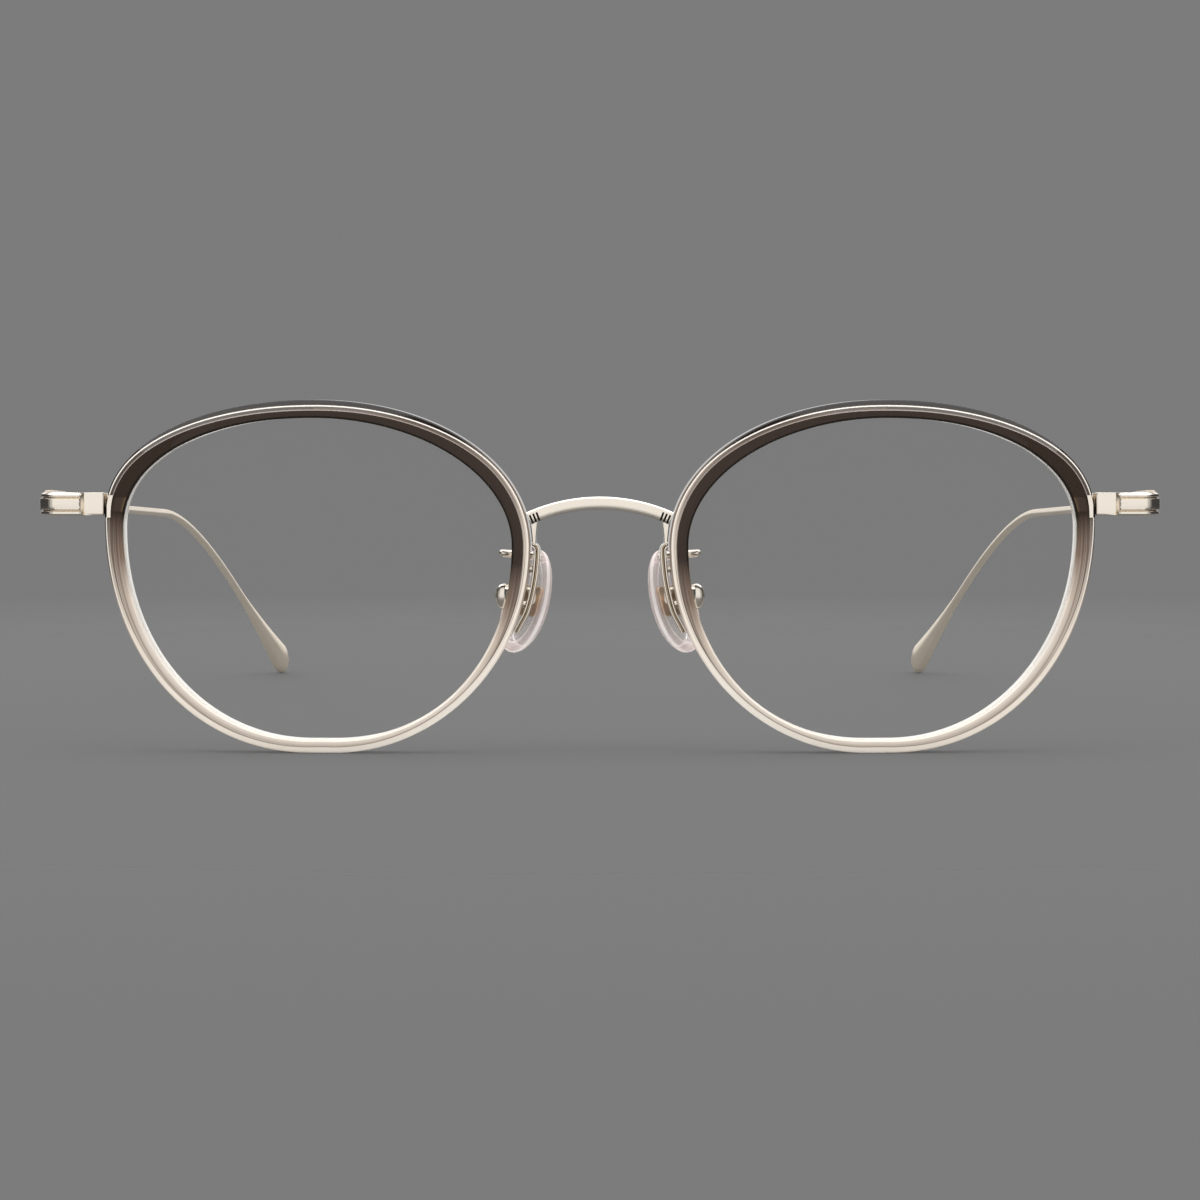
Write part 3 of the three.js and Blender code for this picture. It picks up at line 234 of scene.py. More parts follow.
# Acetate rims: a ring of cellulose acetate sheet for each lens, dark in its upper half and clear below.
# It is milled with a sloping flank round the front and a groove for the lens, tumbled soft and polished.
# Sizes here and below are in millimetres, and each finished piece is brought to metres.
MM = 0.001
LENS_WIDTH = 48.95
LENS_HEIGHT = 40.35
LENS_GAP = 22.3
OPENING_CROWN = 0.3
OPENING_FOOT = -0.6
RIM_TOP = 2.25
RIM_BOTTOM = 1.7
RIM_NOSE = 2.3
RIM_TEMPLE = 2.45
RIM_DEPTH = 3.6
RIM_FOOT_FLAT = 3
RIM_INNER_EDGE = 0.25
RIM_BACK_EDGE = 0.35
RIM_FINE_ROUND = 0.06
RIM_RIDGE_ROUND = 0.1
RIM_FLANK_ROUND = 0.3
CUTTER_REACH = 0.3
FLANK_WIDTH = 0.93
FLANK_TOP_WIDTH = 1.38
FLANK_RISE = (12, 20.5)
FLANK_SLOPE = 0.41
GROOVE_LEVEL = 1.4
GROOVE_WIDTH = 1.2
GROOVE_DEPTH = 0.6
BASE_RADIUS = 130
FACE_WRAP = math.radians(3)
OUTLINE_STEPS = 72
ROUND_STEPS = 4
SEAT_CLEARANCE = 0.06
PIN_DIAMETER = 0.9
PIN_DEPTH = 1.2
PIN_LEVELS = (1.2, -3.2)
PIN_SETBACK = 2.4
END_LEVEL = 9.3
TONGUE_HEIGHT = 2
TONGUE_LENGTH = 1.9
TONGUE_THICKNESS = 0.9
TONGUE_SETBACK = 2.2
CLEAR_BELOW = 0.011
DARK_ABOVE = 0.027
FADE_TILT = 0.12
CORE_DARK_ABOVE = 0.036
CORE_TILT = 0.2
DARK_SKIN = (0.026, 0.014, 0.008)
NOSE_SHADE = (0.028, 0.032)
RIDGE_BAND = (0.015, 0.03)
CORE_BAND = (0.06, 0.09)
PAINTED_STRIPE_BANDS = ((0.1, 0.12), (0.14, 0.16))
NOSE_SHADE_BAND = (0.16, 0.19)
EDGE_BAND = (0.22, 0.25)
OUTSIDE_BAND = (0.28, 0.31)
LIP_HIGHLIGHT_BAND = (1.1, 1.4)
LIP_REACH = (0.22, 0.3)
GAP_WIDTH = 0.45
GAP_DROP = 1.65
GAP_RISE = 1.2


def between(start, end, share):
    return start + (end - start) * share


class Outline:
    """A closed outline of four quarters, as (u, v) from the middle of the lens: u to the temple and v up.
    Upper and lower say how full the quarters of each side are."""

    def __init__(self, nose, temple, top, foot, upper, lower):
        half_flat = Vector((RIM_FOOT_FLAT / 2, 0))
        self.side = {"nose": nose, "temple": temple}
        self.top = top
        self.foot = {"nose": foot - half_flat, "temple": foot + half_flat}
        self.fullness = {"upper": upper, "lower": lower}

    def quarter(self, side, half):
        """Points from the widest point of a side to the top or to the foot."""
        widest = self.side[side]
        pole = self.top if half == "upper" else self.foot[side]
        power = 2 / self.fullness[half][side]
        points = []
        for step in range(OUTLINE_STEPS + 1):
            angle = math.pi / 2 * step / OUTLINE_STEPS
            u = between(pole.x, widest.x, max(0, math.cos(angle)) ** power)
            v = between(widest.y, pole.y, math.sin(angle) ** power)
            points.append(Vector((u, v)))
        return points

    def points(self):
        upper_temple = self.quarter("temple", "upper")
        upper_nose = self.quarter("nose", "upper")
        lower_nose = self.quarter("nose", "lower")
        lower_temple = self.quarter("temple", "lower")
        return upper_temple[:-1] + upper_nose[:0:-1] + lower_nose + lower_temple[:0:-1]

    def at(self, side, v):
        """How far out a side is at a level."""
        widest = self.side[side]
        half = "upper" if v > widest.y else "lower"
        pole = self.top if half == "upper" else self.foot[side]
        power = self.fullness[half][side] / 2
        rise = min(1, (v - widest.y) / (pole.y - widest.y)) ** power
        return between(pole.x, widest.x, math.sqrt(1 - rise**2) ** (1 / power))


opening = Outline(
    nose=Vector((-LENS_WIDTH / 2, 4.2)),
    temple=Vector((LENS_WIDTH / 2, 6.4)),
    top=Vector((OPENING_CROWN, LENS_HEIGHT / 2)),
    foot=Vector((OPENING_FOOT, -LENS_HEIGHT / 2)),
    upper={"temple": 2.14, "nose": 1.97},
    lower={"temple": 2.06, "nose": 2.1},
)
rim_edge = Outline(
    nose=Vector((-LENS_WIDTH / 2 - RIM_NOSE, 4.0)),
    temple=Vector((LENS_WIDTH / 2 + RIM_TEMPLE, 7.9)),
    top=Vector((OPENING_CROWN, LENS_HEIGHT / 2 + RIM_TOP)),
    foot=Vector((OPENING_FOOT, -LENS_HEIGHT / 2 - RIM_BOTTOM)),
    upper={"temple": 2.11, "nose": 2.06},
    lower={"temple": 2.1, "nose": 1.98},
)
LENS_X = LENS_GAP / 2 + LENS_WIDTH / 2
LENS_Z = RIM_BOTTOM + LENS_HEIGHT / 2


def behind_front(u, v, w):
    """The point at (u, v) on the curved and wrapped front and w behind its face, with the face at y 0."""
    back = w + BASE_RADIUS - math.sqrt(BASE_RADIUS**2 - u**2 - v**2)
    x = LENS_X + u * math.cos(FACE_WRAP) - back * math.sin(FACE_WRAP)
    y = u * math.sin(FACE_WRAP) + back * math.cos(FACE_WRAP)
    return Vector((x, y, LENS_Z + v))


rest_mount = next(m for m in frame["record"]["mounts"] if m["name"] == "rim_rest_right")
REST_SETBACK = 2.025
FRONT_Y = rest_mount["pos_m"][1] / MM - behind_front(OPENING_FOOT, -LENS_Z, REST_SETBACK).y


def place(u, v, w):
    """The same point where the frame has it."""
    return behind_front(u, v, w) + Vector((0, FRONT_Y, 0))


def rounded(corners):
    """A closed section from corners (across, along, radius), with every corner turned by an arc."""
    points = []
    for number, (across, along, radius) in enumerate(corners):
        corner = Vector((across, along))
        before = (Vector(corners[number - 1][:2]) - corner).normalized()
        after = (Vector(corners[(number + 1) % len(corners)][:2]) - corner).normalized()
        half = before.angle(after) / 2
        centre = corner + (before + after).normalized() * radius / math.sin(half)
        start = corner + before * radius / math.tan(half) - centre
        end = corner + after * radius / math.tan(half) - centre
        for step in range(ROUND_STEPS + 1):
            points.append(centre + start.slerp(end, step / ROUND_STEPS) * radius)
    return points


def only(piece):
    """Selects one object and nothing else."""
    bpy.ops.object.select_all(action="DESELECT")
    piece.select_set(True)
    bpy.context.view_layer.objects.active = piece


def sweep(name, rings, loop=False, tips=(None, None)):
    """A circle of points, extruded from ring to ring. Its ends are flat faces or are drawn to tips."""
    count = len(rings[0])
    bpy.ops.object.select_all(action="DESELECT")
    bpy.ops.mesh.primitive_circle_add(vertices=count)
    piece = bpy.context.object
    piece.name = name
    bpy.ops.object.mode_set(mode="EDIT")
    bpy.ops.mesh.select_mode(type="VERT")
    mesh = bmesh.from_edit_mesh(piece.data)
    turn = mesh.verts.layers.int.new("turn")
    for number, point in enumerate(mesh.verts):
        point[turn] = number
        point.co = rings[0][number]
    stops = rings[1:] + rings[:1] if loop else rings[1:]
    for ring in stops:
        bpy.ops.mesh.extrude_edges_move()
        mesh = bmesh.from_edit_mesh(piece.data)
        turn = mesh.verts.layers.int["turn"]
        mesh.verts.ensure_lookup_table()
        for point in mesh.verts[-count:]:
            point.co = ring[point[turn]]
    if loop:
        bpy.ops.mesh.select_all(action="SELECT")
        bpy.ops.mesh.remove_doubles(threshold=1e-5)
    else:
        close_end(piece, tips[1])
        mesh = bmesh.from_edit_mesh(piece.data)
        mesh.verts.ensure_lookup_table()
        bpy.ops.mesh.select_all(action="DESELECT")
        for point in mesh.verts[:count]:
            point.select = True
        mesh.select_flush(True)
        close_end(piece, tips[0])
    bpy.ops.mesh.select_all(action="SELECT")
    bpy.ops.mesh.normals_make_consistent(inside=False)
    bpy.ops.object.mode_set(mode="OBJECT")
    return piece


def close_end(piece, tip):
    """Closes the selected ring by a flat face, or draws it to a tip."""
    if tip is None:
        bpy.ops.mesh.edge_face_add()
        return
    bpy.ops.mesh.extrude_edges_move()
    bpy.ops.mesh.merge(type="CENTER")
    mesh = bmesh.from_edit_mesh(piece.data)
    for point in mesh.verts:
        if point.select:
            point.co = tip


def modify(piece, kind, **settings):
    """Applies one modifier to a piece."""
    only(piece)
    bpy.ops.object.modifier_add(type=kind)
    modifier = piece.modifiers[-1]
    for name, value in settings.items():
        setattr(modifier, name, value)
    bpy.ops.object.modifier_apply(modifier=modifier.name)
    return piece


def combine(piece, tool, operation):
    """Joins a second shape to a piece, or cuts it out of the piece, and uses the second shape up."""
    modify(piece, "BOOLEAN", operation=operation, solver="EXACT", object=tool)
    bpy.data.objects.remove(tool)
    return piece


def stretch(factors):
    """Scales the active piece about the origin, in its mesh, and turns its faces outwards."""
    bpy.ops.transform.resize(value=factors, center_override=(0, 0, 0))
    bpy.ops.object.transform_apply(location=True, rotation=True, scale=True)
    bpy.ops.object.mode_set(mode="EDIT")
    bpy.ops.mesh.select_all(action="SELECT")
    bpy.ops.mesh.normals_make_consistent(inside=False)
    bpy.ops.object.mode_set(mode="OBJECT")


def settle(piece, smooth=30):
    """Brings a piece to metres, with its faces outwards and its curves smooth."""
    only(piece)
    stretch((MM, MM, MM))
    bpy.ops.object.shade_smooth_by_angle(angle=math.radians(smooth))
    return piece


def left_twin(piece):
    """A mirrored copy of a piece of the right side."""
    only(piece)
    bpy.ops.object.duplicate()
    twin = bpy.context.object
    twin.name = piece.name.replace("right", "left")
    stretch((-1, 1, 1))
    return twin


def fit(piece, finish, body, node):
    """Gives a piece its finish and puts it on its body, in the place of a node."""
    modify(piece, "WEIGHTED_NORMAL", keep_sharp=True)
    piece.data.materials.clear()
    piece.data.materials.append(finish)
    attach(piece, body)
    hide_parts(node)


def fit_both(piece, finish, body, node):
    """Fits a piece of the right side and its mirrored copy. Braces in body and node stand for the side."""
    for made, side in ((piece, "right"), (left_twin(piece), "left")):
        fit(made, finish, body.format(side), node.format(side))


def eased(low, high, value):
    """From 0 at low to 1 at high, smooth at both ends."""
    share = min(1, max(0, (value - low) / (high - low)))
    return share * share * (3 - 2 * share)


def rim_profile(wall, v):
    """The rim's section as (offset from the opening, depth), for a wall of some width at a level."""
    half_groove = GROOVE_WIDTH / 2
    flank = between(FLANK_WIDTH, FLANK_TOP_WIDTH, eased(*FLANK_RISE, v))
    return rounded(
        [
            (RIM_INNER_EDGE, 0, RIM_FINE_ROUND),
            (wall - flank, 0, RIM_RIDGE_ROUND),
            (wall, flank * FLANK_SLOPE, RIM_FLANK_ROUND),
            (wall, RIM_DEPTH, RIM_BACK_EDGE),
            (0, RIM_DEPTH, RIM_BACK_EDGE),
            (0, GROOVE_LEVEL + half_groove, RIM_FINE_ROUND),
            (GROOVE_DEPTH, GROOVE_LEVEL, RIM_FINE_ROUND),
            (0, GROOVE_LEVEL - half_groove, RIM_FINE_ROUND),
            (0, RIM_INNER_EDGE, RIM_FINE_ROUND),
        ]
    )


opening_line = opening.points()
rim_line = rim_edge.points()
walls = [(outer - inner).length for inner, outer in zip(opening_line, rim_line)]
profiles = [rim_profile(wall, inner.y) for wall, inner in zip(walls, opening_line)]


def off_opening(inner, outer, offset, w):
    """The point at an offset from the opening's line towards the rim's outer line."""
    at = inner + (outer - inner).normalized() * offset
    return place(at.x, at.y, w)


def rim_ring(number):
    """One point of the section, all the way round the rim."""
    stations = zip(opening_line, rim_line, profiles)
    return [off_opening(inner, outer, *profile[number]) for inner, outer, profile in stations]


def rectangle(left, low, right, high):
    return [(left, low), (right, low), (right, high), (left, high)]


def side_bar(name, inner_u, outer_u, v, height, front_w, back_w, clearance=0):
    """A rectangular bar that runs sideways in the rim, grown all round by a clearance."""
    half = height / 2
    corners = rectangle(v - half - clearance, front_w - clearance, v + half + clearance, back_w + clearance)
    return sweep(name, [[place(u, level, w) for level, w in corners] for u in (inner_u, outer_u)])


end_side = rim_edge.at("temple", END_LEVEL)


def tongue(name, clearance, outer_u):
    inner_u = end_side - TONGUE_LENGTH - clearance
    back = TONGUE_SETBACK + TONGUE_THICKNESS
    return side_bar(name, inner_u, outer_u, END_LEVEL, TONGUE_HEIGHT, TONGUE_SETBACK, back, clearance)


def beside_nose(v, offset, w):
    """A point off the rim's nose side at a level, square to its outline and to its depth."""
    step = 0.01
    along = Vector((rim_edge.at("nose", v + step) - rim_edge.at("nose", v - step), 2 * step)).normalized()
    away = Vector((-along.y * math.cos(FACE_WRAP), -along.y * math.sin(FACE_WRAP), along.x))
    return place(rim_edge.at("nose", v), v, w) + away * offset


def rod(name, start, end, diameter, sides=32):
    """A round rod from a cylinder, with its length and place in its mesh."""
    along = end - start
    bpy.ops.object.select_all(action="DESELECT")
    bpy.ops.mesh.primitive_cylinder_add(
        vertices=sides,
        radius=diameter / 2,
        depth=along.length,
        location=(start + end) / 2,
        rotation=along.to_track_quat("Z", "Y").to_euler(),
    )
    made = bpy.context.object
    made.name = name
    bpy.ops.object.transform_apply(location=True, rotation=True, scale=True)
    return made


rim = sweep("acetate_rim_right", [rim_ring(number) for number in range(len(profiles[0]))], loop=True)
combine(rim, tongue("tongue_slot", SEAT_CLEARANCE, end_side + CUTTER_REACH), "DIFFERENCE")
for level in PIN_LEVELS:
    hole = rod(
        "pin_hole",
        beside_nose(level, CUTTER_REACH, PIN_SETBACK),
        beside_nose(level, -PIN_DEPTH - SEAT_CLEARANCE, PIN_SETBACK),
        PIN_DIAMETER + 2 * SEAT_CLEARANCE,
    )
    combine(rim, hole, "DIFFERENCE")
settle(rim, smooth=20)

acetate, nodes, spot = new_finish("faded_acetate")
x, y, z = nodes.axes(spot)
aside = abs(x) - LENS_X * MM
behind = y - FRONT_Y * MM
above = z - LENS_Z * MM
u = aside * math.cos(FACE_WRAP) + behind * math.sin(FACE_WRAP)
back = behind * math.cos(FACE_WRAP) - aside * math.sin(FACE_WRAP)
bowl = (BASE_RADIUS * MM) ** 2 - u * u - above * above
depth = back - BASE_RADIUS * MM + nodes.math("SQRT", bowl)
smoke = nodes.add("TexNoise", sockets={"Vector": spot, "Scale": 90.0, "Detail": 3.0, "Roughness": 0.6})
level = z - aside * FADE_TILT + (smoke - 0.5) * 0.003
fade = nodes.ramp(level, CLEAR_BELOW, DARK_ABOVE)
core_fade = nodes.ramp(z + aside * CORE_TILT, CLEAR_BELOW, CORE_DARK_ABOVE)


def choose(mask, chosen, other):
    """One number where a mask is 1 and another where it is 0."""
    return mask * (chosen - other) + other


def above_level(value, level):
    return nodes.math("GREATER_THAN", value, level)


u, v = u / MM, above / MM
at_temple = above_level(u, OPENING_CROWN)
widest = choose(at_temple, opening.side["temple"].y, opening.side["nose"].y)
at_top = above_level(v, widest)
foot_u = choose(at_temple, opening.foot["temple"].x, opening.foot["nose"].x)
pole_u = choose(at_top, OPENING_CROWN, foot_u)
outwards = at_temple * 2 - 1
half_width = LENS_WIDTH / 2 - outwards * pole_u
half_tall = LENS_HEIGHT / 2 - (at_top * 2 - 1) * widest
upper, lower = opening.fullness["upper"], opening.fullness["lower"]
upper_power = choose(at_temple, upper["temple"], upper["nose"])
power = choose(at_top, upper_power, choose(at_temple, lower["temple"], lower["nose"]))
beside = nodes.math("MAXIMUM", (u - pole_u) * outwards / half_width, 0.0001)
over = abs((v - widest) / half_tall) + 0.0001
size = (beside**power + over**power) ** (1 / power)
steepness = (beside ** (power - 1) / half_width) ** 2 + (over ** (power - 1) / half_tall) ** 2
from_lens = (size - 1) / steepness**0.5


def shade_band(position, *tints):
    """Tints from the sheet's clear end to its dark end: a layer of the sheet, and also the lines of painted light
    and shade.
    """
    stops = [(number / (len(tints) - 1), colour(*tint)) for number, tint in enumerate(tints)]
    return nodes.add("ValToRGB", {"stops": stops}, {"Fac": position})


def below(start, end):
    """From 0 to 1 between two depths."""
    return nodes.ramp(depth, start * MM, end * MM)


def across(start, end):
    """From 0 to 1 between two distances from the lens."""
    return nodes.ramp(from_lens, start, end)


streaks = nodes.add("TexNoise", {"noise_dimensions": "1D"}, {"W": from_lens * 1.1 + z * 8, "Detail": 3.0})
inner_skin = shade_band(fade, (0.76, 0.67, 0.58), (0.62, 0.52, 0.43), (0.19, 0.12, 0.085), DARK_SKIN)
outer_skin = shade_band(fade, (0.4, 0.33, 0.27), (0.33, 0.26, 0.2), (0.15, 0.095, 0.068), DARK_SKIN)
skin = nodes.mix(across(0.5, 0.8), inner_skin, outer_skin)
skin = nodes.mix((streaks - 0.42) * 2.2 * (1 - fade), skin, colour(0.95, 0.89, 0.82))
# Painted light on the flank: the ridge line is a painted highlight in the dark upper part and a painted shade line
# in the clear part.
painted_ridge_tints = ((0.42, 0.35, 0.28), (0.09, 0.07, 0.05), (0.12, 0.09, 0.07), (0.33, 0.28, 0.25))
painted_ridge_line = shade_band(fade, *painted_ridge_tints)
# The flank's tone: a clearer layer of the sheet, painted lighter still in the clear part as a painted glow.
flank_tone_and_glow = shade_band(core_fade, (0.98, 0.9, 0.8), (0.85, 0.75, 0.64), (0.5, 0.42, 0.36), (0.08, 0.065, 0.055))
# A painted highlight: a near-white line round the outer rounding, in the dark part and the clear part alike.
painted_edge_glow = shade_band(core_fade, (0.98, 0.91, 0.82), (0.98, 0.92, 0.84))
# The outer rounding and wall: a painted glow in the clear part and a painted near-black edge line in the dark
# part.
painted_outer_edge_tints = ((0.9, 0.8, 0.68), (0.55, 0.45, 0.37), (0.16, 0.12, 0.095), (0.014, 0.01, 0.008))
painted_outer_edge = shade_band(core_fade, *painted_outer_edge_tints)
# Painted stripes of highlight and shade on the flank and the outer rounding, on the nose side of the clear part.
painted_stripe_tone = shade_band(fade, (0.95, 0.88, 0.79), (0.8, 0.7, 0.6), (0.42, 0.33, 0.25), (0.12, 0.085, 0.06))
nose_stripe_mask = (1 - at_temple) * (1 - core_fade)
flank_tone_and_glow = nodes.mix((below(*PAINTED_STRIPE_BANDS[0]) - below(*PAINTED_STRIPE_BANDS[1])) * nose_stripe_mask, flank_tone_and_glow, painted_stripe_tone)
# Painted shade: the nose-side flank is darkened next to its ridge in the upper part.
high = nodes.ramp(z, *NOSE_SHADE, 0.0, 0.6)
flank_tone_and_glow = nodes.mix((1 - below(*NOSE_SHADE_BAND)) * (1 - at_temple) * high, flank_tone_and_glow, colour(0.16, 0.12, 0.095))
painted_outer_edge = nodes.mix(nose_stripe_mask, painted_outer_edge, painted_stripe_tone)
tint = nodes.mix(below(*RIDGE_BAND), skin, painted_ridge_line)
tint = nodes.mix(below(*CORE_BAND), tint, flank_tone_and_glow)
tint = nodes.mix(below(*EDGE_BAND), tint, painted_edge_glow)
tint = nodes.mix(below(*OUTSIDE_BAND), tint, painted_outer_edge)
# The inner wall takes the sheet's tint, with a painted highlight: a near-white band part way back.
lip = shade_band(fade, (0.8, 0.73, 0.65), (0.8, 0.72, 0.63), (0.25, 0.18, 0.13), (0.015, 0.011, 0.008))
lip = nodes.mix(below(*LIP_HIGHLIGHT_BAND), lip, colour(0.97, 0.93, 0.87))
# The tongue sunk in the acetate is painted in as a dark patch, with a painted highlight: a gold glint on the side
# nearer the lens.
from_tongue = abs(v - END_LEVEL) / (TONGUE_HEIGHT / 2)
at_tongue = nodes.ramp(from_tongue, 0.75, 1.0, 1.0, 0.0) * at_temple
tint = nodes.mix(at_tongue * (1 - across(1.3, 1.7)) * 0.3, tint, colour(0.1, 0.07, 0.05))
tint = nodes.mix(at_tongue * (1 - across(0.3, 0.5)) * 0.6, tint, colour(0.2, 0.12, 0.055))
tint = nodes.mix(across(*LIP_REACH), lip, tint)
# Painted shade: the acetate goes near-black at its outer edge beside the end piece, in the gap between block and
# saddle.
gap_levels = above_level(v, END_LEVEL - GAP_DROP) * (1 - above_level(v, END_LEVEL + GAP_RISE))
gap_shade = above_level(u, end_side - GAP_WIDTH) * gap_levels
tint = nodes.mix(gap_shade, tint, colour(0.004, 0.003, 0.003))
ripple = nodes.noise(spot, 700.0, 2.0)
nodes.surface(
    {
        "Base Color": tint,
        "Roughness": ripple * 0.04 + 0.03,
        "IOR": 1.48,
        "Specular IOR Level": 0.22,
        "Transmission Weight": 0.25,
        "Normal": nodes.bump(ripple, 0.004, 0.0002),
    }
)
fit_both(rim, acetate, "front", "rim_{}")

# Lenses: clear plastic, ground to one curve on both faces and edged with a bevel that snaps into the
# rim's groove. They are coated against reflections, so they all but vanish from the front.
LENS_THICKNESS = 1.8
LENS_CLEARANCE = 0.1
LENS_RINGS = 8
LENS_FACE_DROP = 0.005
lens_front = GROOVE_LEVEL - LENS_THICKNESS / 2 + LENS_FACE_DROP
lens_back = GROOVE_LEVEL + LENS_THICKNESS / 2
half_bevel = GROOVE_WIDTH / 2 - LENS_CLEARANCE


def lens_edge(offset, w):
    return [off_opening(inner, outer, offset, w) for inner, outer in zip(opening_line, rim_line)]


def lens_face(share, w):
    return [place(point.x * share, point.y * share, w) for point in opening_line]


shares = [number / LENS_RINGS for number in range(1, LENS_RINGS)]
lens = sweep(
    "clear_lens_right",
    [lens_face(share, lens_front) for share in shares]
    + [
        lens_edge(-LENS_CLEARANCE, lens_front),
        lens_edge(-LENS_CLEARANCE, GROOVE_LEVEL - half_bevel),
        lens_edge(GROOVE_DEPTH - LENS_CLEARANCE, GROOVE_LEVEL),
        lens_edge(-LENS_CLEARANCE, GROOVE_LEVEL + half_bevel),
        lens_edge(-LENS_CLEARANCE, lens_back),
    ]
    + [lens_face(share, lens_back) for share in reversed(shares)],
    tips=(place(0, 0, lens_front), place(0, 0, lens_back)),
)
settle(lens)

clear_plastic, nodes, spot = new_finish("coated_lens")
haze = nodes.noise(spot, 60.0, 4.0)
glance = nodes.add("Fresnel", sockets={"IOR": 1.5})
nodes.surface(
    {
        "Base Color": colour(0.1, 0.105, 0.103),
        "Roughness": haze * 0.04 + 0.12,
        "IOR": 1.5,
        "Alpha": haze * 0.01 + 0.005 + glance * 0.12,
    }
)
fit_both(lens, clear_plastic, "front", "lens_{}")

# Bridge: a bar of titanium, bent to a low arch, with a narrow bevel along the top and three slots milled
# in the front of each end. It is polished and plated in pale champagne gold.
BRIDGE_LEVEL = 7.6
BRIDGE_RISE = 1.9
BRIDGE_HEIGHT = 1.6
BRIDGE_DEPTH = 1.8
BRIDGE_SETBACK = 0.5
BRIDGE_CLEARANCE = 0.3
BRIDGE_EDGE = 0.22
BRIDGE_SLOTS = 3
BRIDGE_SLOT_WIDTH = 0.24
BRIDGE_SLOT_DEPTH = 0.6
BRIDGE_SLOT_PITCH = 0.42
BRIDGE_SLOT_MARGIN = 0.1
BRIDGE_SLOT_LAND = 0.45
BRIDGE_STEPS = 96
bridge_side = rim_edge.at("nose", BRIDGE_LEVEL)
bridge_end = place(bridge_side, BRIDGE_LEVEL, 0).x - BRIDGE_CLEARANCE
bridge_front = place(bridge_side, BRIDGE_LEVEL, BRIDGE_SETBACK).y
bridge_radius = (bridge_end**2 + BRIDGE_RISE**2) / (2 * BRIDGE_RISE)
bridge_centre = LENS_Z + BRIDGE_LEVEL + BRIDGE_RISE - bridge_radius


def arch(x, radius):
    """How high the arch of some radius is at x."""
    return bridge_centre + math.sqrt(radius**2 - x**2)


def on_bridge(x, height, depth):
    """A point off the middle line of the bridge, square to its arch."""
    middle = Vector((x, bridge_front + BRIDGE_DEPTH / 2 + depth, arch(x, bridge_radius)))
    out = Vector((x, 0, arch(x, bridge_radius) - bridge_centre)).normalized()
    return middle + out * height


half_height = BRIDGE_HEIGHT / 2
half_depth = BRIDGE_DEPTH / 2
bridge_section = rounded(
    [
        (-half_height, 0.03 - half_depth, 0.12),
        (-0.2 * half_height, -half_depth, 2),
        (half_height - 0.6 * BRIDGE_EDGE, 0.02 - half_depth, 0.05),
        (half_height, 0.9 * BRIDGE_EDGE - half_depth, 0.05),
        (half_height, half_depth, 0.25),
        (-half_height, half_depth, 0.25),
    ]
)
bridge_places = [between(-bridge_end, bridge_end, step / BRIDGE_STEPS) for step in range(BRIDGE_STEPS + 1)]
bridge = sweep("arched_bridge", [[on_bridge(x, p.x, p.y) for p in bridge_section] for x in bridge_places])


def bridge_slot(x):
    """The shape of one slot, a notch that is open at the front and at the foot of the bridge."""
    front = -half_depth - BRIDGE_SLOT_DEPTH
    corners = [(-BRIDGE_SLOT_WIDTH, front), (BRIDGE_SLOT_WIDTH, front), (0, BRIDGE_SLOT_DEPTH - half_depth)]
    rings = []
    for height in (-BRIDGE_HEIGHT, half_height - BRIDGE_SLOT_LAND):
        rings.append([on_bridge(x + side, height, depth) for side, depth in corners])
    return sweep("bridge_slot", rings)


for side in (-1, 1):
    for number in range(BRIDGE_SLOTS):
        inset = BRIDGE_SLOT_MARGIN + BRIDGE_SLOT_WIDTH / 2 + number * BRIDGE_SLOT_PITCH
        combine(bridge, bridge_slot(side * (bridge_end - inset)), "DIFFERENCE")
settle(bridge, smooth=25)


def plated_metal(name, base, roughness, grain_length, grain_depth, metallic=1.0):
    """Champagne gold plate whose polishing lines run across the view, with faint changes of tone."""
    material, nodes, spot = new_finish(name)
    stretched = nodes.add("Mapping", sockets={"Vector": spot, "Scale": (1, 1, grain_length)})
    lines = nodes.noise(stretched, 1500.0, 4.0)
    cloud = nodes.noise(spot, 250.0, 2.0)
    nodes.surface(
        {
            "Base Color": nodes.mix(cloud, colour(*(0.94 * part for part in base)), colour(*base)),
            "Metallic": metallic,
            "Roughness": lines * 0.08 + cloud * 0.06 + (roughness - 0.07),
            "Normal": nodes.bump(lines, grain_depth, 0.00005),
        }
    )
    return material


polished_gold = plated_metal("polished_gold_plate", (0.94, 0.86, 0.75), 0.17, 6, 0.02)
fit(bridge, polished_gold, "front", "bridge")

# Nose brackets: a leg brazed under the bridge turns into a grooved wire that runs down the rim and lands
# on it. A claw goes round behind the rim. Two pins, pressed into the acetate, carry the wire.
BRACKET_TOP_LEVEL = 4.25
BRACKET_FOOT_LEVEL = -6.6
BRACKET_WIRE = 0.72
BRACKET_WIRE_DEPTH = 1.9
BRACKET_SETBACK = 1.2
BRACKET_STANDOFF = 0.4
BRACKET_LANDING = 0.3
BRACKET_BEND = 0.65
BRACKET_GROOVE = 0.24
BRACKET_GROOVE_DEPTH = 1.1
LEG_WIDTH = 1
LEG_FOOT_WIDTH = 0.5
LEG_STANDOFF = 0.12
LEG_DEPTH = 1
LEG_GAP = 0.05
CLAW_LEVEL = 2.9
CLAW_DIAMETER = 1
CLAW_REACH = 1.9
CLAW_LIFT = 0.2
WIRE_SIDES = 24
WIRE_STEPS = 48
BEND_STEPS = 16
LEG_STEPS = 12
CLAW_STEPS = 40
CLAW_CAP_STEP = 15
half_wire = BRACKET_WIRE / 2
bracket_depth = BRACKET_SETBACK + BRACKET_WIRE_DEPTH / 2
wire_top = BRACKET_TOP_LEVEL - BRACKET_BEND


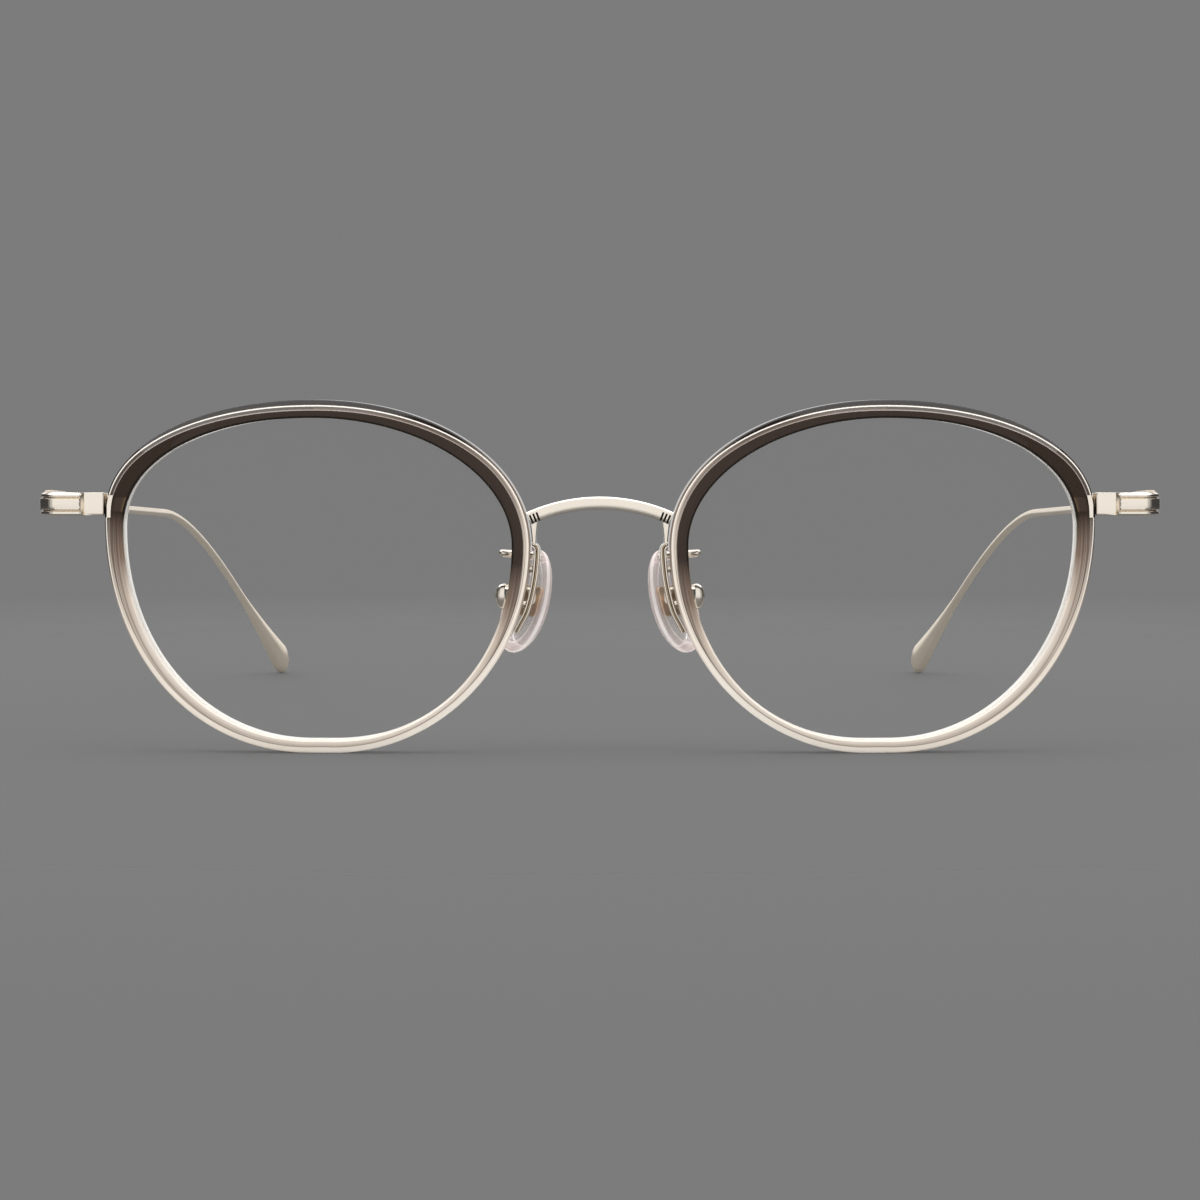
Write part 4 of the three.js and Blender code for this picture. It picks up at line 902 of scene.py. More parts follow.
def standoff(v):
    """How far the wire stands off the rim at a level."""
    landing = (wire_top - BRACKET_FOOT_LEVEL) * BRACKET_LANDING
    rise = eased(BRACKET_FOOT_LEVEL, BRACKET_FOOT_LEVEL + landing, v)
    return between(SEAT_CLEARANCE, BRACKET_STANDOFF, rise)


def wire_middle(v, w=bracket_depth):
    return beside_nose(v, standoff(v) + half_wire, w)


def oval(centre, across, along, half_across, half_along, fullness=2, sides=WIRE_SIDES):
    """Points of an oval in the plane of two directions. A fullness above 2 squares it up."""
    ring = []
    for number in range(sides):
        angle = 2 * math.pi * (number + 0.5) / sides
        c, s = math.cos(angle), math.sin(angle)
        a = math.copysign(abs(c) ** (2 / fullness), c) * half_across
        b = math.copysign(abs(s) ** (2 / fullness), s) * half_along
        ring.append(centre + across * a + along * b)
    return ring


wire_path = []
for step in range(BEND_STEPS):
    angle = math.pi / 2 * step / BEND_STEPS
    offset = standoff(wire_top) + half_wire - BRACKET_BEND * (1 - math.sin(angle))
    wire_path.append(beside_nose(wire_top + BRACKET_BEND * math.cos(angle), offset, bracket_depth))
for step in range(WIRE_STEPS + 1):
    wire_path.append(wire_middle(between(wire_top, BRACKET_FOOT_LEVEL, step / WIRE_STEPS)))

half_slit = BRACKET_GROOVE / 2
half_strip = BRACKET_WIRE_DEPTH / 2
slit_floor = BRACKET_GROOVE_DEPTH - half_strip
wire_section = rounded(
    [
        (-half_wire, -half_strip, 0.1),
        (-half_slit, -half_strip, 0.1),
        (0, slit_floor, 0.02),
        (half_slit, -half_strip, 0.1),
        (half_wire, -half_strip, 0.1),
        (half_wire, half_strip, 0.2),
        (-half_wire, half_strip, 0.2),
    ]
)
straight_back = (place(0, 0, 1) - place(0, 0, 0)).normalized()
wire_rings = []
for number, at in enumerate(wire_path):
    along = (wire_path[min(number + 1, len(wire_path) - 1)] - wire_path[max(number - 1, 0)]).normalized()
    across = along.cross(straight_back).normalized()
    wire_rings.append([at + across * p.x + straight_back * p.y for p in wire_section])
bracket = sweep("nose_bracket_wire_right", wire_rings)

leg_rings = []
for step in range(LEG_STEPS + 1):
    share = step / LEG_STEPS
    width = between(LEG_FOOT_WIDTH, LEG_WIDTH, share**2)
    level = between(BRACKET_TOP_LEVEL, BRIDGE_LEVEL - half_height, share)
    at = beside_nose(level, LEG_STANDOFF + width / 2, bracket_depth)
    half_leg = between(half_strip - LEG_GAP, LEG_DEPTH / 2, share)
    at.y = wire_path[0].y - half_strip + half_leg
    leg_rings.append(oval(at, Vector((1, 0, 0)), Vector((0, 1, 0)), width / 2, half_leg, 6, 32))
for point in leg_rings[-1]:
    point.z = arch(point.x, bridge_radius - half_height) - LEG_GAP
combine(bracket, sweep("bracket_leg", leg_rings), "UNION")


def smooth_path(points, count):
    """Places and directions along a smooth curve through some points, closer where those are closer."""
    ends = [2 * points[0] - points[1], *points, 2 * points[-1] - points[-2]]
    spans = len(points) - 1
    stations = []
    for step in range(count + 1):
        run = min(step * spans / count, spans - 1e-9)
        number = int(run)
        share = run - number
        a, b, c, d = ends[number : number + 4]
        first, middle, last = (math.sqrt((q - p).length) for p, q in ((a, b), (b, c), (c, d)))
        leave = ((b - a) / first - (c - a) / (first + middle) + (c - b) / middle) * middle
        arrive = ((c - b) / middle - (d - b) / (middle + last) + (d - c) / last) * middle
        square = 3 * (c - b) - 2 * leave - arrive
        cube = 2 * (b - c) + leave + arrive
        at = b + leave * share + square * share**2 + cube * share**3
        along = leave + 2 * square * share + 3 * cube * share**2
        stations.append((at, along.normalized()))
    return stations


UP = Vector((0, 0, 1))
behind_rim = RIM_DEPTH + BRACKET_STANDOFF
claw_inner = opening.at("nose", CLAW_LEVEL)
claw_w = behind_rim + CLAW_DIAMETER / 2
claw_radius = CLAW_DIAMETER / 2
claw_points = [
    wire_middle(CLAW_LEVEL),
    wire_middle(CLAW_LEVEL, RIM_DEPTH),
    place(between(rim_edge.at("nose", CLAW_LEVEL), claw_inner, 0.15), CLAW_LEVEL, claw_w),
    place(claw_inner, CLAW_LEVEL + CLAW_LIFT / 2, claw_w),
    place(claw_inner + CLAW_REACH - claw_radius, CLAW_LEVEL + CLAW_LIFT, claw_w),
]
claw_path = smooth_path(claw_points, CLAW_STEPS)
claw_rings = []
for at, along in claw_path:
    claw_rings.append(oval(at, along.cross(UP).normalized(), UP, claw_radius, claw_radius))
end, along = claw_path[-1]
for lean in range(CLAW_CAP_STEP, 90, CLAW_CAP_STEP):
    radius = claw_radius * math.cos(math.radians(lean))
    at = end + along * claw_radius * math.sin(math.radians(lean))
    claw_rings.append(oval(at, along.cross(UP).normalized(), UP, radius, radius))
claw = sweep("bracket_claw", claw_rings, tips=(None, end + along * claw_radius))
combine(bracket, claw, "UNION")
settle(bracket)
fit_both(bracket, polished_gold, "front", "nose_bracket_{}")

PIN_GAP = 0.05
PIN_EDGE = 0.08


def soften(piece, edge):
    """Rounds the sharp edges of a piece."""
    return modify(piece, "BEVEL", width=edge, segments=3)


for level, name in zip(PIN_LEVELS, ("upper", "lower")):
    pin = rod(
        "acetate_pin_" + name + "_right",
        beside_nose(level, standoff(level) - PIN_GAP, PIN_SETBACK),
        beside_nose(level, -PIN_DEPTH, PIN_SETBACK),
        PIN_DIAMETER,
        48,
    )
    settle(soften(pin, PIN_EDGE))
    fit_both(pin, polished_gold, "front", "bracket_pin_" + name + "_{}")

# Nose pads: a drop of clear silicone moulded round a metal insert, crowned on the side that meets the nose.
# The insert's eye turns on a screw in the box of the pad arm, so that the pad rocks.
PAD_LENGTH = 13.6
PAD_WIDTH = 9
PAD_FACE = 1.7
PAD_BACK = 0.55
PAD_SPLAY = math.radians(34)
PAD_LEAN = math.radians(18.7)
PAD_SCREW_HEIGHT = 1.8
PAD_TAPER = 0.14
PAD_BACK_SHARES = (0.2, 0.4, 0.6, 0.74)
PAD_GROOVE = ((0.79, 0.06), (0.82, 0.16), (0.84, 0.16), (0.87, 0.06))
PAD_BEAD_INNER = 0.89
PAD_BEAD_DROP = 0.04
PAD_SIDES = 72
PAD_RINGS = 12
pad_wide = Vector((math.sin(PAD_SPLAY), math.cos(PAD_SPLAY), 0))
level_out = Vector((math.cos(PAD_SPLAY), -math.sin(PAD_SPLAY), 0))
pad_long = UP * math.cos(PAD_LEAN) - level_out * math.sin(PAD_LEAN)
pad_out = level_out * math.cos(PAD_LEAN) + UP * math.sin(PAD_LEAN)
rock = next(joint for joint in frame["joints"] if joint["name"] == "pad_right_rock")
pad_middle = Vector(rock["pos_m"]) / MM - pad_out * PAD_SCREW_HEIGHT


def in_pad(long, wide, out):
    return pad_middle + pad_long * long + pad_wide * wide + pad_out * out


def pad_ring(share, out):
    ring = []
    for number in range(PAD_SIDES):
        angle = 2 * math.pi * number / PAD_SIDES
        long = math.cos(angle)
        wide = math.sin(angle) * (1 - PAD_TAPER * long)
        ring.append(in_pad(long * share * PAD_LENGTH / 2, wide * share * PAD_WIDTH / 2, out))
    return ring


def pad_box(name, length, width, low, high):
    """A square block in the pad's own directions."""
    corners = rectangle(-length / 2, -width / 2, length / 2, width / 2)
    return sweep(name, [[in_pad(long, wide, out) for long, wide in corners] for out in (low, high)])


pad_rings = [pad_ring(share, PAD_BACK) for share in PAD_BACK_SHARES]
pad_rings += [pad_ring(share, PAD_BACK - drop) for share, drop in PAD_GROOVE]
for step in range(PAD_RINGS + 1):
    turn = math.pi / 2 * step / PAD_RINGS
    share = PAD_BEAD_INNER + (1 - PAD_BEAD_INNER) * math.sin(turn)
    pad_rings.append(pad_ring(share, (PAD_BACK - PAD_BEAD_DROP) * math.cos(turn) ** 0.8))
for step in range(1, PAD_RINGS):
    turn = math.pi / 2 * step / PAD_RINGS
    pad_rings.append(pad_ring(math.cos(turn) ** 0.62, -PAD_FACE * math.sin(turn)))
pad = sweep("silicone_pad_right", pad_rings, tips=(in_pad(0, 0, PAD_BACK), in_pad(0, 0, -PAD_FACE)))
settle(pad, smooth=40)

silicone, nodes, spot = new_finish("clear_silicone")
x, y, z = nodes.axes(spot)


def along_pad(direction, half_length):
    """How far a point is from the pad's middle in a direction, as a share of a half length."""
    steps = zip((abs(x), y, z), pad_middle, direction)
    shares = [(axis - middle * MM) * (along / half_length / MM) for axis, middle, along in steps]
    return shares[0] + shares[1] + shares[2]


long = along_pad(pad_long, PAD_LENGTH / 2)
wide = along_pad(pad_wide, PAD_WIDTH / 2) / (1 - long * PAD_TAPER)
from_middle = nodes.math("SQRT", long * long + wide * wide)


def past(start, end):
    """From 0 to 1 between two shares of the way from the pad's middle to its edge."""
    return nodes.ramp(from_middle, start, end)


bead = past(0.8, 0.82)
# Painted highlights: lighter, more opaque lines at the edges of the bead's groove and round the pad's rim.
lines = past(0.79, 0.81) - past(0.83, 0.85) + past(0.985, 0.995)
cloud = nodes.noise(spot, 220.0, 3.0)
tint = nodes.mix(bead, colour(0.74, 0.69, 0.66), colour(0.86, 0.69, 0.65))
nodes.surface(
    {
        "Base Color": nodes.mix(lines, tint, colour(0.98, 0.89, 0.86)),
        "Roughness": cloud * 0.1 + 0.15,
        "IOR": 1.41,
        "Transmission Weight": 0.3,
        "Alpha": lines * 0.3 + bead * 0.14 + cloud * 0.08 + 0.2,
        "Normal": nodes.bump(nodes.noise(spot, 5000.0, 2.0), 0.04, 0.00005),
    }
)
fit_both(pad, silicone, "pad_{}", "nose_pad_{}")

# Pad arms: a wire from the bracket, bent round behind the rim and swaged wide in its loop, with a small
# box brazed on its end that holds the pad's eye.
TAB_THICKNESS = 0.8
TAB_RADIUS = 0.8
PAD_SCREW_DIAMETER = 0.7
BOX_CHEEK = 0.45
BOX_FLOOR = 0.5
BOX_LENGTH = 2.4
BOX_FOOT = 1.5
TURNING_CLEARANCE = 0.07
ARM_LEVEL = -2.1
ARM_HEIGHT = 2
ARM_THICKNESS = 0.9
ARM_LOOP_THICKNESS = 1
ARM_LOOP_REACH = 0.85
ARM_STEPS = 60
ARM_SWAGE = (0.45, 0.75)
ARM_SQUARENESS = 2.4
HOLDER_EDGE = 0.12
ARM_BULB = (1.05, 0.5, 1.62)
ARM_BULB_PLACE = (12.17, -66.2, 19.5)
box_inner = TAB_THICKNESS + 2 * TURNING_CLEARANCE
box_outer = box_inner + 2 * BOX_CHEEK
box_top = PAD_SCREW_HEIGHT + TAB_RADIUS + 2 * TURNING_CLEARANCE
arm_inner = opening.at("nose", ARM_LEVEL)
arm_outer = rim_edge.at("nose", ARM_LEVEL)
arm_behind = behind_rim + ARM_THICKNESS / 2
arm_root = BRACKET_SETBACK + BRACKET_WIRE_DEPTH + LEG_GAP
arm_floor = in_pad(0, 0, box_top + BOX_FLOOR / 2)
arm_loop = place(arm_inner + ARM_LOOP_REACH, ARM_LEVEL, 0)
arm_loop.y = (place(arm_inner, ARM_LEVEL, arm_behind).y + arm_floor.y) / 2
arm_loop.z = (arm_loop.z + arm_floor.z) / 2
arm_points = [
    wire_middle(ARM_LEVEL, arm_root),
    wire_middle(ARM_LEVEL, between(arm_root, arm_behind, 0.45)),
    place(between(arm_outer, arm_inner, 0.2), ARM_LEVEL, arm_behind),
    place(between(arm_outer, arm_inner, 0.85), ARM_LEVEL, arm_behind),
    arm_loop,
    arm_floor,
]
arm_rings = []
for number, (at, along) in enumerate(smooth_path(arm_points, ARM_STEPS)):
    across = along.cross(UP).normalized()
    swage = eased(*ARM_SWAGE, number / ARM_STEPS)
    half_thickness = between(ARM_THICKNESS, ARM_LOOP_THICKNESS, swage) / 2
    arm_rings.append(oval(at, across, across.cross(along), half_thickness, ARM_HEIGHT / 2, ARM_SQUARENESS))
arm = sweep("pad_arm_wire_right", arm_rings)
bpy.ops.object.select_all(action="DESELECT")
bpy.ops.mesh.primitive_uv_sphere_add(segments=48, ring_count=24, location=ARM_BULB_PLACE, scale=ARM_BULB)
bulb = bpy.context.object
bpy.ops.object.transform_apply(location=True, rotation=True, scale=True)
combine(arm, bulb, "UNION")
holder = pad_box("pad_holder", BOX_LENGTH, box_outer, BOX_FOOT, box_top + BOX_FLOOR)
combine(arm, soften(holder, HOLDER_EDGE), "UNION")
combine(arm, pad_box("eye_channel", 2 * BOX_LENGTH, box_inner, 0, box_top), "DIFFERENCE")
pad_bore = PAD_SCREW_DIAMETER + 2 * TURNING_CLEARANCE
bore_start = in_pad(0, -box_outer, PAD_SCREW_HEIGHT)
bore_end = in_pad(0, box_outer, PAD_SCREW_HEIGHT)
combine(arm, rod("screw_bore", bore_start, bore_end, pad_bore), "DIFFERENCE")
settle(arm)
fit_both(arm, polished_gold, "front", "pad_arm_{}")

# Pad inserts: a stamped plate that lies inside the silicone, with an eye that stands up into the pad
# arm's box. Its gold is painted dark and brown, partly the warmth of the silicone over it and partly
# painted shade. A small screw passes through box and eye.
INSERT_LENGTH = 3.9
INSERT_OUTER = 1.4
INSERT_INNER = 3.4
INSERT_LOW = -0.1
INSERT_THICKNESS = 0.4
INSERT_ROUND = 0.8
INSERT_EDGE = 0.06
EYE_SINK = 0.1
EYE_EDGE = 0.05
EYE_STEPS = 24
half_insert = INSERT_LENGTH / 2
insert_corners = rectangle(-half_insert, -INSERT_INNER, half_insert, INSERT_OUTER)
insert_plan = rounded([(*corner, INSERT_ROUND) for corner in insert_corners])
insert_levels = (INSERT_LOW, INSERT_LOW + INSERT_THICKNESS)
insert_rings = [[in_pad(p.x, p.y, out) for p in insert_plan] for out in insert_levels]
insert = soften(sweep("pad_insert_plate_right", insert_rings), INSERT_EDGE)
half_tab = TAB_THICKNESS / 2
eye_plan = [(-TAB_RADIUS, INSERT_LOW + EYE_SINK), (TAB_RADIUS, INSERT_LOW + EYE_SINK)]
for step in range(EYE_STEPS + 1):
    angle = math.pi * step / EYE_STEPS
    eye_plan.append((TAB_RADIUS * math.cos(angle), PAD_SCREW_HEIGHT + TAB_RADIUS * math.sin(angle)))
eye_rings = [[in_pad(long, wide, out) for long, out in eye_plan] for wide in (-half_tab, half_tab)]
combine(insert, soften(sweep("insert_eye", eye_rings), EYE_EDGE), "UNION")
combine(insert, rod("eye_bore", bore_start, bore_end, pad_bore), "DIFFERENCE")
settle(insert)
# Painted shade: the insert's plate colour is darker and browner than the rest of the plating.
shaded_warm_gold = plated_metal("insert_shaded_gold_plate", (0.62, 0.38, 0.15), 0.3, 4, 0.05)
fit_both(insert, shaded_warm_gold, "pad_{}", "pad_insert_{}")


def dress_both(node, finish):
    """Gives a node of the frame and its fellow on the other side their finish."""
    for side in ("right", "left"):
        mesh = frame["nodes"][node + side].data
        mesh.materials.clear()
        mesh.materials.append(finish)


dress_both("pad_screw_", polished_gold)

# End pieces: a titanium bar with a raised rib, bent round the corner to the hinge, and a flat block where
# it meets the rim. A thin saddle lies on the rim's flank, and a tongue is sunk in the acetate.
END_HEIGHT = 2.9
END_THICKNESS = 1.35
END_REACH = 8.5
END_SETBACK = 0.3
END_CORNER = 2.2
END_RIB_HEIGHT = 1.36
END_RIB_CROWN = 0.02
END_CROWN_RADIUS = 8
END_FAINT_CUT = 0.02
END_BAND_LEAN = 0.05
END_GROOVE = 0.26
END_GROOVE_DEPTH = 0.45
END_GROOVE_LEAD = 0.18
END_GROOVE_RAMP = 0.06
END_BAND_SETBACK = 0.1
END_SLOPE_WIDTH = 0.2
END_SLOPE_DEPTH = 0.42
END_BLOCK_WIDTH = 2.45
END_BLOCK_RISE = 0.12
END_BLOCK_BOW = 0.05
END_BLOCK_LEAN = 0.6
END_BLOCK_CHAMFER = 0.45
END_BLOCK_EDGE = 0.04
END_BLOCK_STEPS = 4
END_SCOOP_REACH = 0.8
END_SCOOP_BOW = 0.5
END_SCOOP_VALLEY = 0.25
END_SCOOP_DEPTH = 0.38
END_SCOOP_STEPS = 16
END_NECK_HEIGHT = 2.7
END_NECK_SETBACK = 1
SADDLE_HEIGHT = 2.8
SADDLE_DROP = 0.25
SADDLE_THICKNESS = 0.16
SADDLE_INNER = 0.87
SADDLE_OUTER = 0.33
SADDLE_TILT = -0.2
SADDLE_BACK = 2.9
SADDLE_LIP = 0.1
SADDLE_STEPS = 12
WINDOW_SILL = 0.2
WINDOW_REACH = (-0.5, 2.4)
WEB_INNER = 0.6
WEB_INSET = 0.1
WEB_MARGIN = 0.2
CORNER_STEPS = 32
HINGE_GAP = 0.05
fold = next(joint for joint in frame["joints"] if joint["name"] == "temple_right_fold")
hinge = Vector(fold["pos_m"]) / MM
end_root = place(end_side, END_LEVEL, END_SETBACK)
end_outer = end_root.x + END_REACH
half_end = END_HEIGHT / 2
half_rib = END_RIB_HEIGHT / 2


def bar_edge(cut, inner, outer):
    """Half of the bar's section, from the rib's edge over a groove and a leaning band to the back."""
    setback = END_BAND_SETBACK * cut
    return [
        (half_rib, END_RIB_CROWN, 0.03),
        (half_rib + END_GROOVE / 2, END_GROOVE_DEPTH * cut, 0.02),
        (half_rib + END_GROOVE, setback + inner, 0.05),
        (half_end - END_SLOPE_WIDTH, setback + outer, 0.08),
        (half_end, END_SLOPE_DEPTH, 0.1),
        (half_end, END_THICKNESS, 0.2),
    ]


def bar_section(cut):
    """The whole section: a crowned rib between two bands that both lean up to the light."""
    upper = bar_edge(cut, 0, END_BAND_LEAN)
    lower = [(-height, depth, turn) for height, depth, turn in reversed(bar_edge(cut, END_BAND_LEAN, 0))]
    return rounded(lower + [(0, 0, END_CROWN_RADIUS)] + upper)


def bar_ring(x, y, out, cut=1):
    return [Vector((x, y, hinge.z + p.x)) - out * p.y for p in bar_section(cut)]


FORWARD = Vector((0, -1, 0))
block_start = place(end_side + SEAT_CLEARANCE + SADDLE_THICKNESS, END_LEVEL, END_NECK_SETBACK).x
block_end = block_start + END_BLOCK_WIDTH
groove_start = block_end + END_SCOOP_REACH - END_GROOVE_LEAD
bar_rings = [
    bar_ring(block_start + END_BLOCK_WIDTH / 2, end_root.y, FORWARD, END_FAINT_CUT),
    bar_ring(groove_start - END_GROOVE_RAMP, end_root.y, FORWARD, END_FAINT_CUT),
    bar_ring(groove_start, end_root.y, FORWARD),
]
for step in range(CORNER_STEPS + 1):
    angle = math.pi / 2 * step / CORNER_STEPS
    out = Vector((math.sin(angle), -math.cos(angle), 0))
    on = Vector((end_outer - END_CORNER, end_root.y + END_CORNER, 0)) + out * END_CORNER
    bar_rings.append(bar_ring(on.x, on.y, out))
bar_rings.append(bar_ring(end_outer, hinge.y - HINGE_GAP, Vector((1, 0, 0))))
end_piece = sweep("end_piece_bar_right", bar_rings)

block_plan = [
    (block_start, END_BLOCK_RISE * 0.2),
    (block_start + END_BLOCK_CHAMFER, -END_BLOCK_RISE),
    (block_end + END_SCOOP_VALLEY, -END_BLOCK_RISE),
    (block_end + END_SCOOP_VALLEY, END_THICKNESS - 0.05),
    (block_start, END_THICKNESS),
]
block_rings = []
for step in range(-END_BLOCK_STEPS, END_BLOCK_STEPS + 1):
    height = step / END_BLOCK_STEPS
    bow = END_BLOCK_BOW * (height + END_BLOCK_LEAN) ** 2
    plan = [(x, y + bow if y < END_THICKNESS / 2 else y) for x, y in block_plan]
    block_rings.append([Vector((x, end_root.y + y, hinge.z + half_end * height)) for x, y in plan])
combine(end_piece, soften(sweep("end_block", block_rings), END_BLOCK_EDGE), "UNION")

scoop_rings = []
for step in range(-END_SCOOP_STEPS - 2, END_SCOOP_STEPS + 3):
    height = step / END_SCOOP_STEPS
    edge = block_end + END_SCOOP_REACH - END_SCOOP_BOW * height**2
    valley = between(block_end, edge, END_SCOOP_VALLEY / END_SCOOP_REACH)
    plan = [
        (edge, 0),
        (between(edge, valley, 0.4), 0.3 * END_SCOOP_DEPTH),
        (valley, END_SCOOP_DEPTH),
        (block_end, -END_BLOCK_RISE),
        (block_end - 0.01, -1),
        (edge + 0.02, -1),
    ]
    scoop_rings.append([Vector((x, end_root.y + y, hinge.z + half_end * height)) for x, y in plan])
combine(end_piece, sweep("end_scoop", scoop_rings), "DIFFERENCE")

flank_width = between(FLANK_WIDTH, FLANK_TOP_WIDTH, eased(*FLANK_RISE, END_LEVEL))


def saddle_ring(v):
    """The saddle's section at a level: a strip over the flank and a thin lip down the rim's outer wall."""
    side = rim_edge.at("temple", v)
    seats = []
    for offset in (-SADDLE_INNER, -SADDLE_OUTER):
        seats.append((offset, max(0, flank_width + offset) * FLANK_SLOPE - SEAT_CLEARANCE))
    front = seats[0][1] - SADDLE_THICKNESS
    section = [
        (-SADDLE_INNER, front),
        (-SADDLE_OUTER, front + SADDLE_TILT),
        (0.02 - SADDLE_OUTER, front + SADDLE_TILT + 0.1),
        (SEAT_CLEARANCE + 0.06, 0.1),
        (SEAT_CLEARANCE + SADDLE_LIP, 0.8),
        (SEAT_CLEARANCE + SADDLE_LIP, SADDLE_BACK),
        (SEAT_CLEARANCE, SADDLE_BACK),
        (SEAT_CLEARANCE, 0.9),
        (0.02, seats[1][1] + 0.05),
        seats[1],
        seats[0],
    ]
    return [place(side + offset, v, w) for offset, w in section]


saddle_level = END_LEVEL - SADDLE_DROP
saddle_rings = []
for step in range(SADDLE_STEPS + 1):
    saddle_rings.append(saddle_ring(saddle_level + SADDLE_HEIGHT * (step / SADDLE_STEPS - 0.5)))
saddle = sweep("rim_saddle", saddle_rings)
window_sides = (end_side - SADDLE_OUTER + 0.01, end_side + CUTTER_REACH)
window = side_bar("saddle_window", *window_sides, saddle_level - WINDOW_SILL, SADDLE_HEIGHT, *WINDOW_REACH)
combine(saddle, window, "DIFFERENCE")
combine(end_piece, saddle, "UNION")
neck_sides = (end_side + SEAT_CLEARANCE + 0.05, end_side + END_BLOCK_WIDTH)
neck_depths = (END_NECK_SETBACK + 1, SADDLE_BACK - 0.1)
combine(end_piece, side_bar("end_neck", *neck_sides, END_LEVEL, END_NECK_HEIGHT, *neck_depths), "UNION")
web_sides = (end_side + WEB_INNER, end_side + END_BLOCK_WIDTH - WEB_INSET)
web_depths = (END_NECK_SETBACK + WEB_MARGIN, SADDLE_BACK - WEB_MARGIN)
web = side_bar("neck_web", *web_sides, END_LEVEL, END_NECK_HEIGHT - WEB_INSET, *web_depths)
combine(end_piece, web, "UNION")
combine(end_piece, tongue("end_tongue", 0, end_side + SEAT_CLEARANCE + 0.08), "UNION")
settle(end_piece)
fit_both(end_piece, polished_gold, "front", "end_piece_{}")

# Hinges: a leaf brazed inside the end piece carries two knuckles, one inside the temple carries a third
# between them. A slotted screw holds them, and nylon washers beside the middle knuckle take up the play.
KNUCKLE_RADIUS = 1.05
KNUCKLE_WEB_REACH = 1.6
KNUCKLE_WEB_INNER = 0.35
KNUCKLE_WEB_EDGE = 0.05
KNUCKLE_WEB_INSET = 0.01
KNUCKLE_FRONT_HEIGHT = 0.5
KNUCKLE_TEMPLE_HEIGHT = 0.7
WASHER_GAP = 0.22
LEAF_LENGTH = 3
LEAF_THICKNESS = 0.5
LEAF_GAP = 0.05
LEAF_EDGE = 0.08
HINGE_SCREW = 1.1
HINGE_HEAD = 1.7
HINGE_HEAD_RISE = 0.17
HINGE_SLOT = 0.24
HINGE_SLOT_DEPTH = 0.1
HINGE_TAIL = 0.2
HINGE_EDGE = 0.06
leaf_face = KNUCKLE_RADIUS + TURNING_CLEARANCE - LEAF_GAP
front_low = KNUCKLE_TEMPLE_HEIGHT / 2 + WASHER_GAP
stack_top = front_low + KNUCKLE_FRONT_HEIGHT


def slab(name, low, high, edge):
    """A rectangular plate between two corners, measured from the hinge, with its edges rounded."""
    plan = rectangle(*low[:2], *high[:2])
    rings = [[hinge + Vector((x, y, z)) for x, y in plan] for z in (low[2], high[2])]
    return soften(sweep(name, rings), edge)


def knuckle(name, side, low, high):
    """A barrel round the screw with its web to the leaf, in front of the axis or behind it."""
    barrel = rod(name, hinge + UP * low, hinge + UP * high, 2 * KNUCKLE_RADIUS, 64)
    soften(barrel, HINGE_EDGE)
    near, far = sorted((0, side * KNUCKLE_WEB_REACH * KNUCKLE_RADIUS))
    web_low = (KNUCKLE_WEB_INNER, near, low + KNUCKLE_WEB_INSET)
    web_high = (leaf_face, far, high - KNUCKLE_WEB_INSET)
    return combine(barrel, slab("knuckle_web", web_low, web_high, KNUCKLE_WEB_EDGE), "UNION")


def leaf_plate(side, half_height):
    ends = sorted((side * KNUCKLE_RADIUS, side * LEAF_LENGTH))
    low = (leaf_face - LEAF_THICKNESS, ends[0], -half_height)
    return slab("leaf_plate", low, (leaf_face, ends[1], half_height), LEAF_EDGE)


hinge_bore = HINGE_SCREW + 2 * TURNING_CLEARANCE
front_leaf = knuckle("hinge_front_leaf_right", -1, front_low, stack_top)
combine(front_leaf, leaf_plate(-1, stack_top - KNUCKLE_WEB_INSET), "UNION")
combine(front_leaf, knuckle("lower_knuckle", -1, -stack_top, -front_low), "UNION")
half_middle = KNUCKLE_TEMPLE_HEIGHT / 2
temple_leaf = knuckle("hinge_temple_leaf_right", 1, -half_middle, half_middle)
combine(temple_leaf, leaf_plate(1, half_middle + KNUCKLE_FRONT_HEIGHT / 2), "UNION")
for leaf in (front_leaf, temple_leaf):
    combine(leaf, rod("hinge_bore", hinge - 2 * UP, hinge + 2 * UP, hinge_bore, 48), "DIFFERENCE")
head_low = stack_top + LEAF_GAP
screw_tail = -stack_top - HINGE_TAIL
shank_end = hinge + UP * (head_low + 0.05)
hinge_screw = rod("hinge_screw_slotted_right", hinge + UP * screw_tail, shank_end, HINGE_SCREW, 48)
soften(hinge_screw, HINGE_EDGE)
head = rod("screw_head", hinge + UP * head_low, hinge + UP * (head_low + HINGE_HEAD_RISE), HINGE_HEAD, 64)
combine(hinge_screw, soften(head, 0.07), "UNION")
slot_low = (-HINGE_HEAD, -HINGE_SLOT / 2, head_low + HINGE_HEAD_RISE - HINGE_SLOT_DEPTH)
slot_high = (HINGE_HEAD, HINGE_SLOT / 2, head_low + 1)
combine(hinge_screw, slab("screw_slot", slot_low, slot_high, 0.01), "DIFFERENCE")
leaves = [settle(made) for made in (front_leaf, temple_leaf, hinge_screw)]

nylon, nodes, spot = new_finish("natural_nylon")
cloud = nodes.noise(spot, 2500.0, 3.0)
tint = nodes.mix(cloud, colour(0.72, 0.69, 0.62), colour(0.83, 0.8, 0.74))
nodes.surface({"Base Color": tint, "Roughness": cloud * 0.2 + 0.4})
steel = plated_metal("bright_steel", (0.78, 0.77, 0.75), 0.22, 3, 0.04)
dress_both("hinge_washer_upper_", nylon)
dress_both("hinge_washer_lower_", nylon)
for side in ("right", "left"):
    if side == "left":
        leaves = [left_twin(made) for made in leaves]
    fit(leaves[0], polished_gold, "front", "hinge_leaf_front_" + side)
    fit(leaves[1], polished_gold, "temple_" + side, "hinge_leaf_temple_" + side)
    fit(leaves[2], steel, "front", "hinge_screw_" + side)

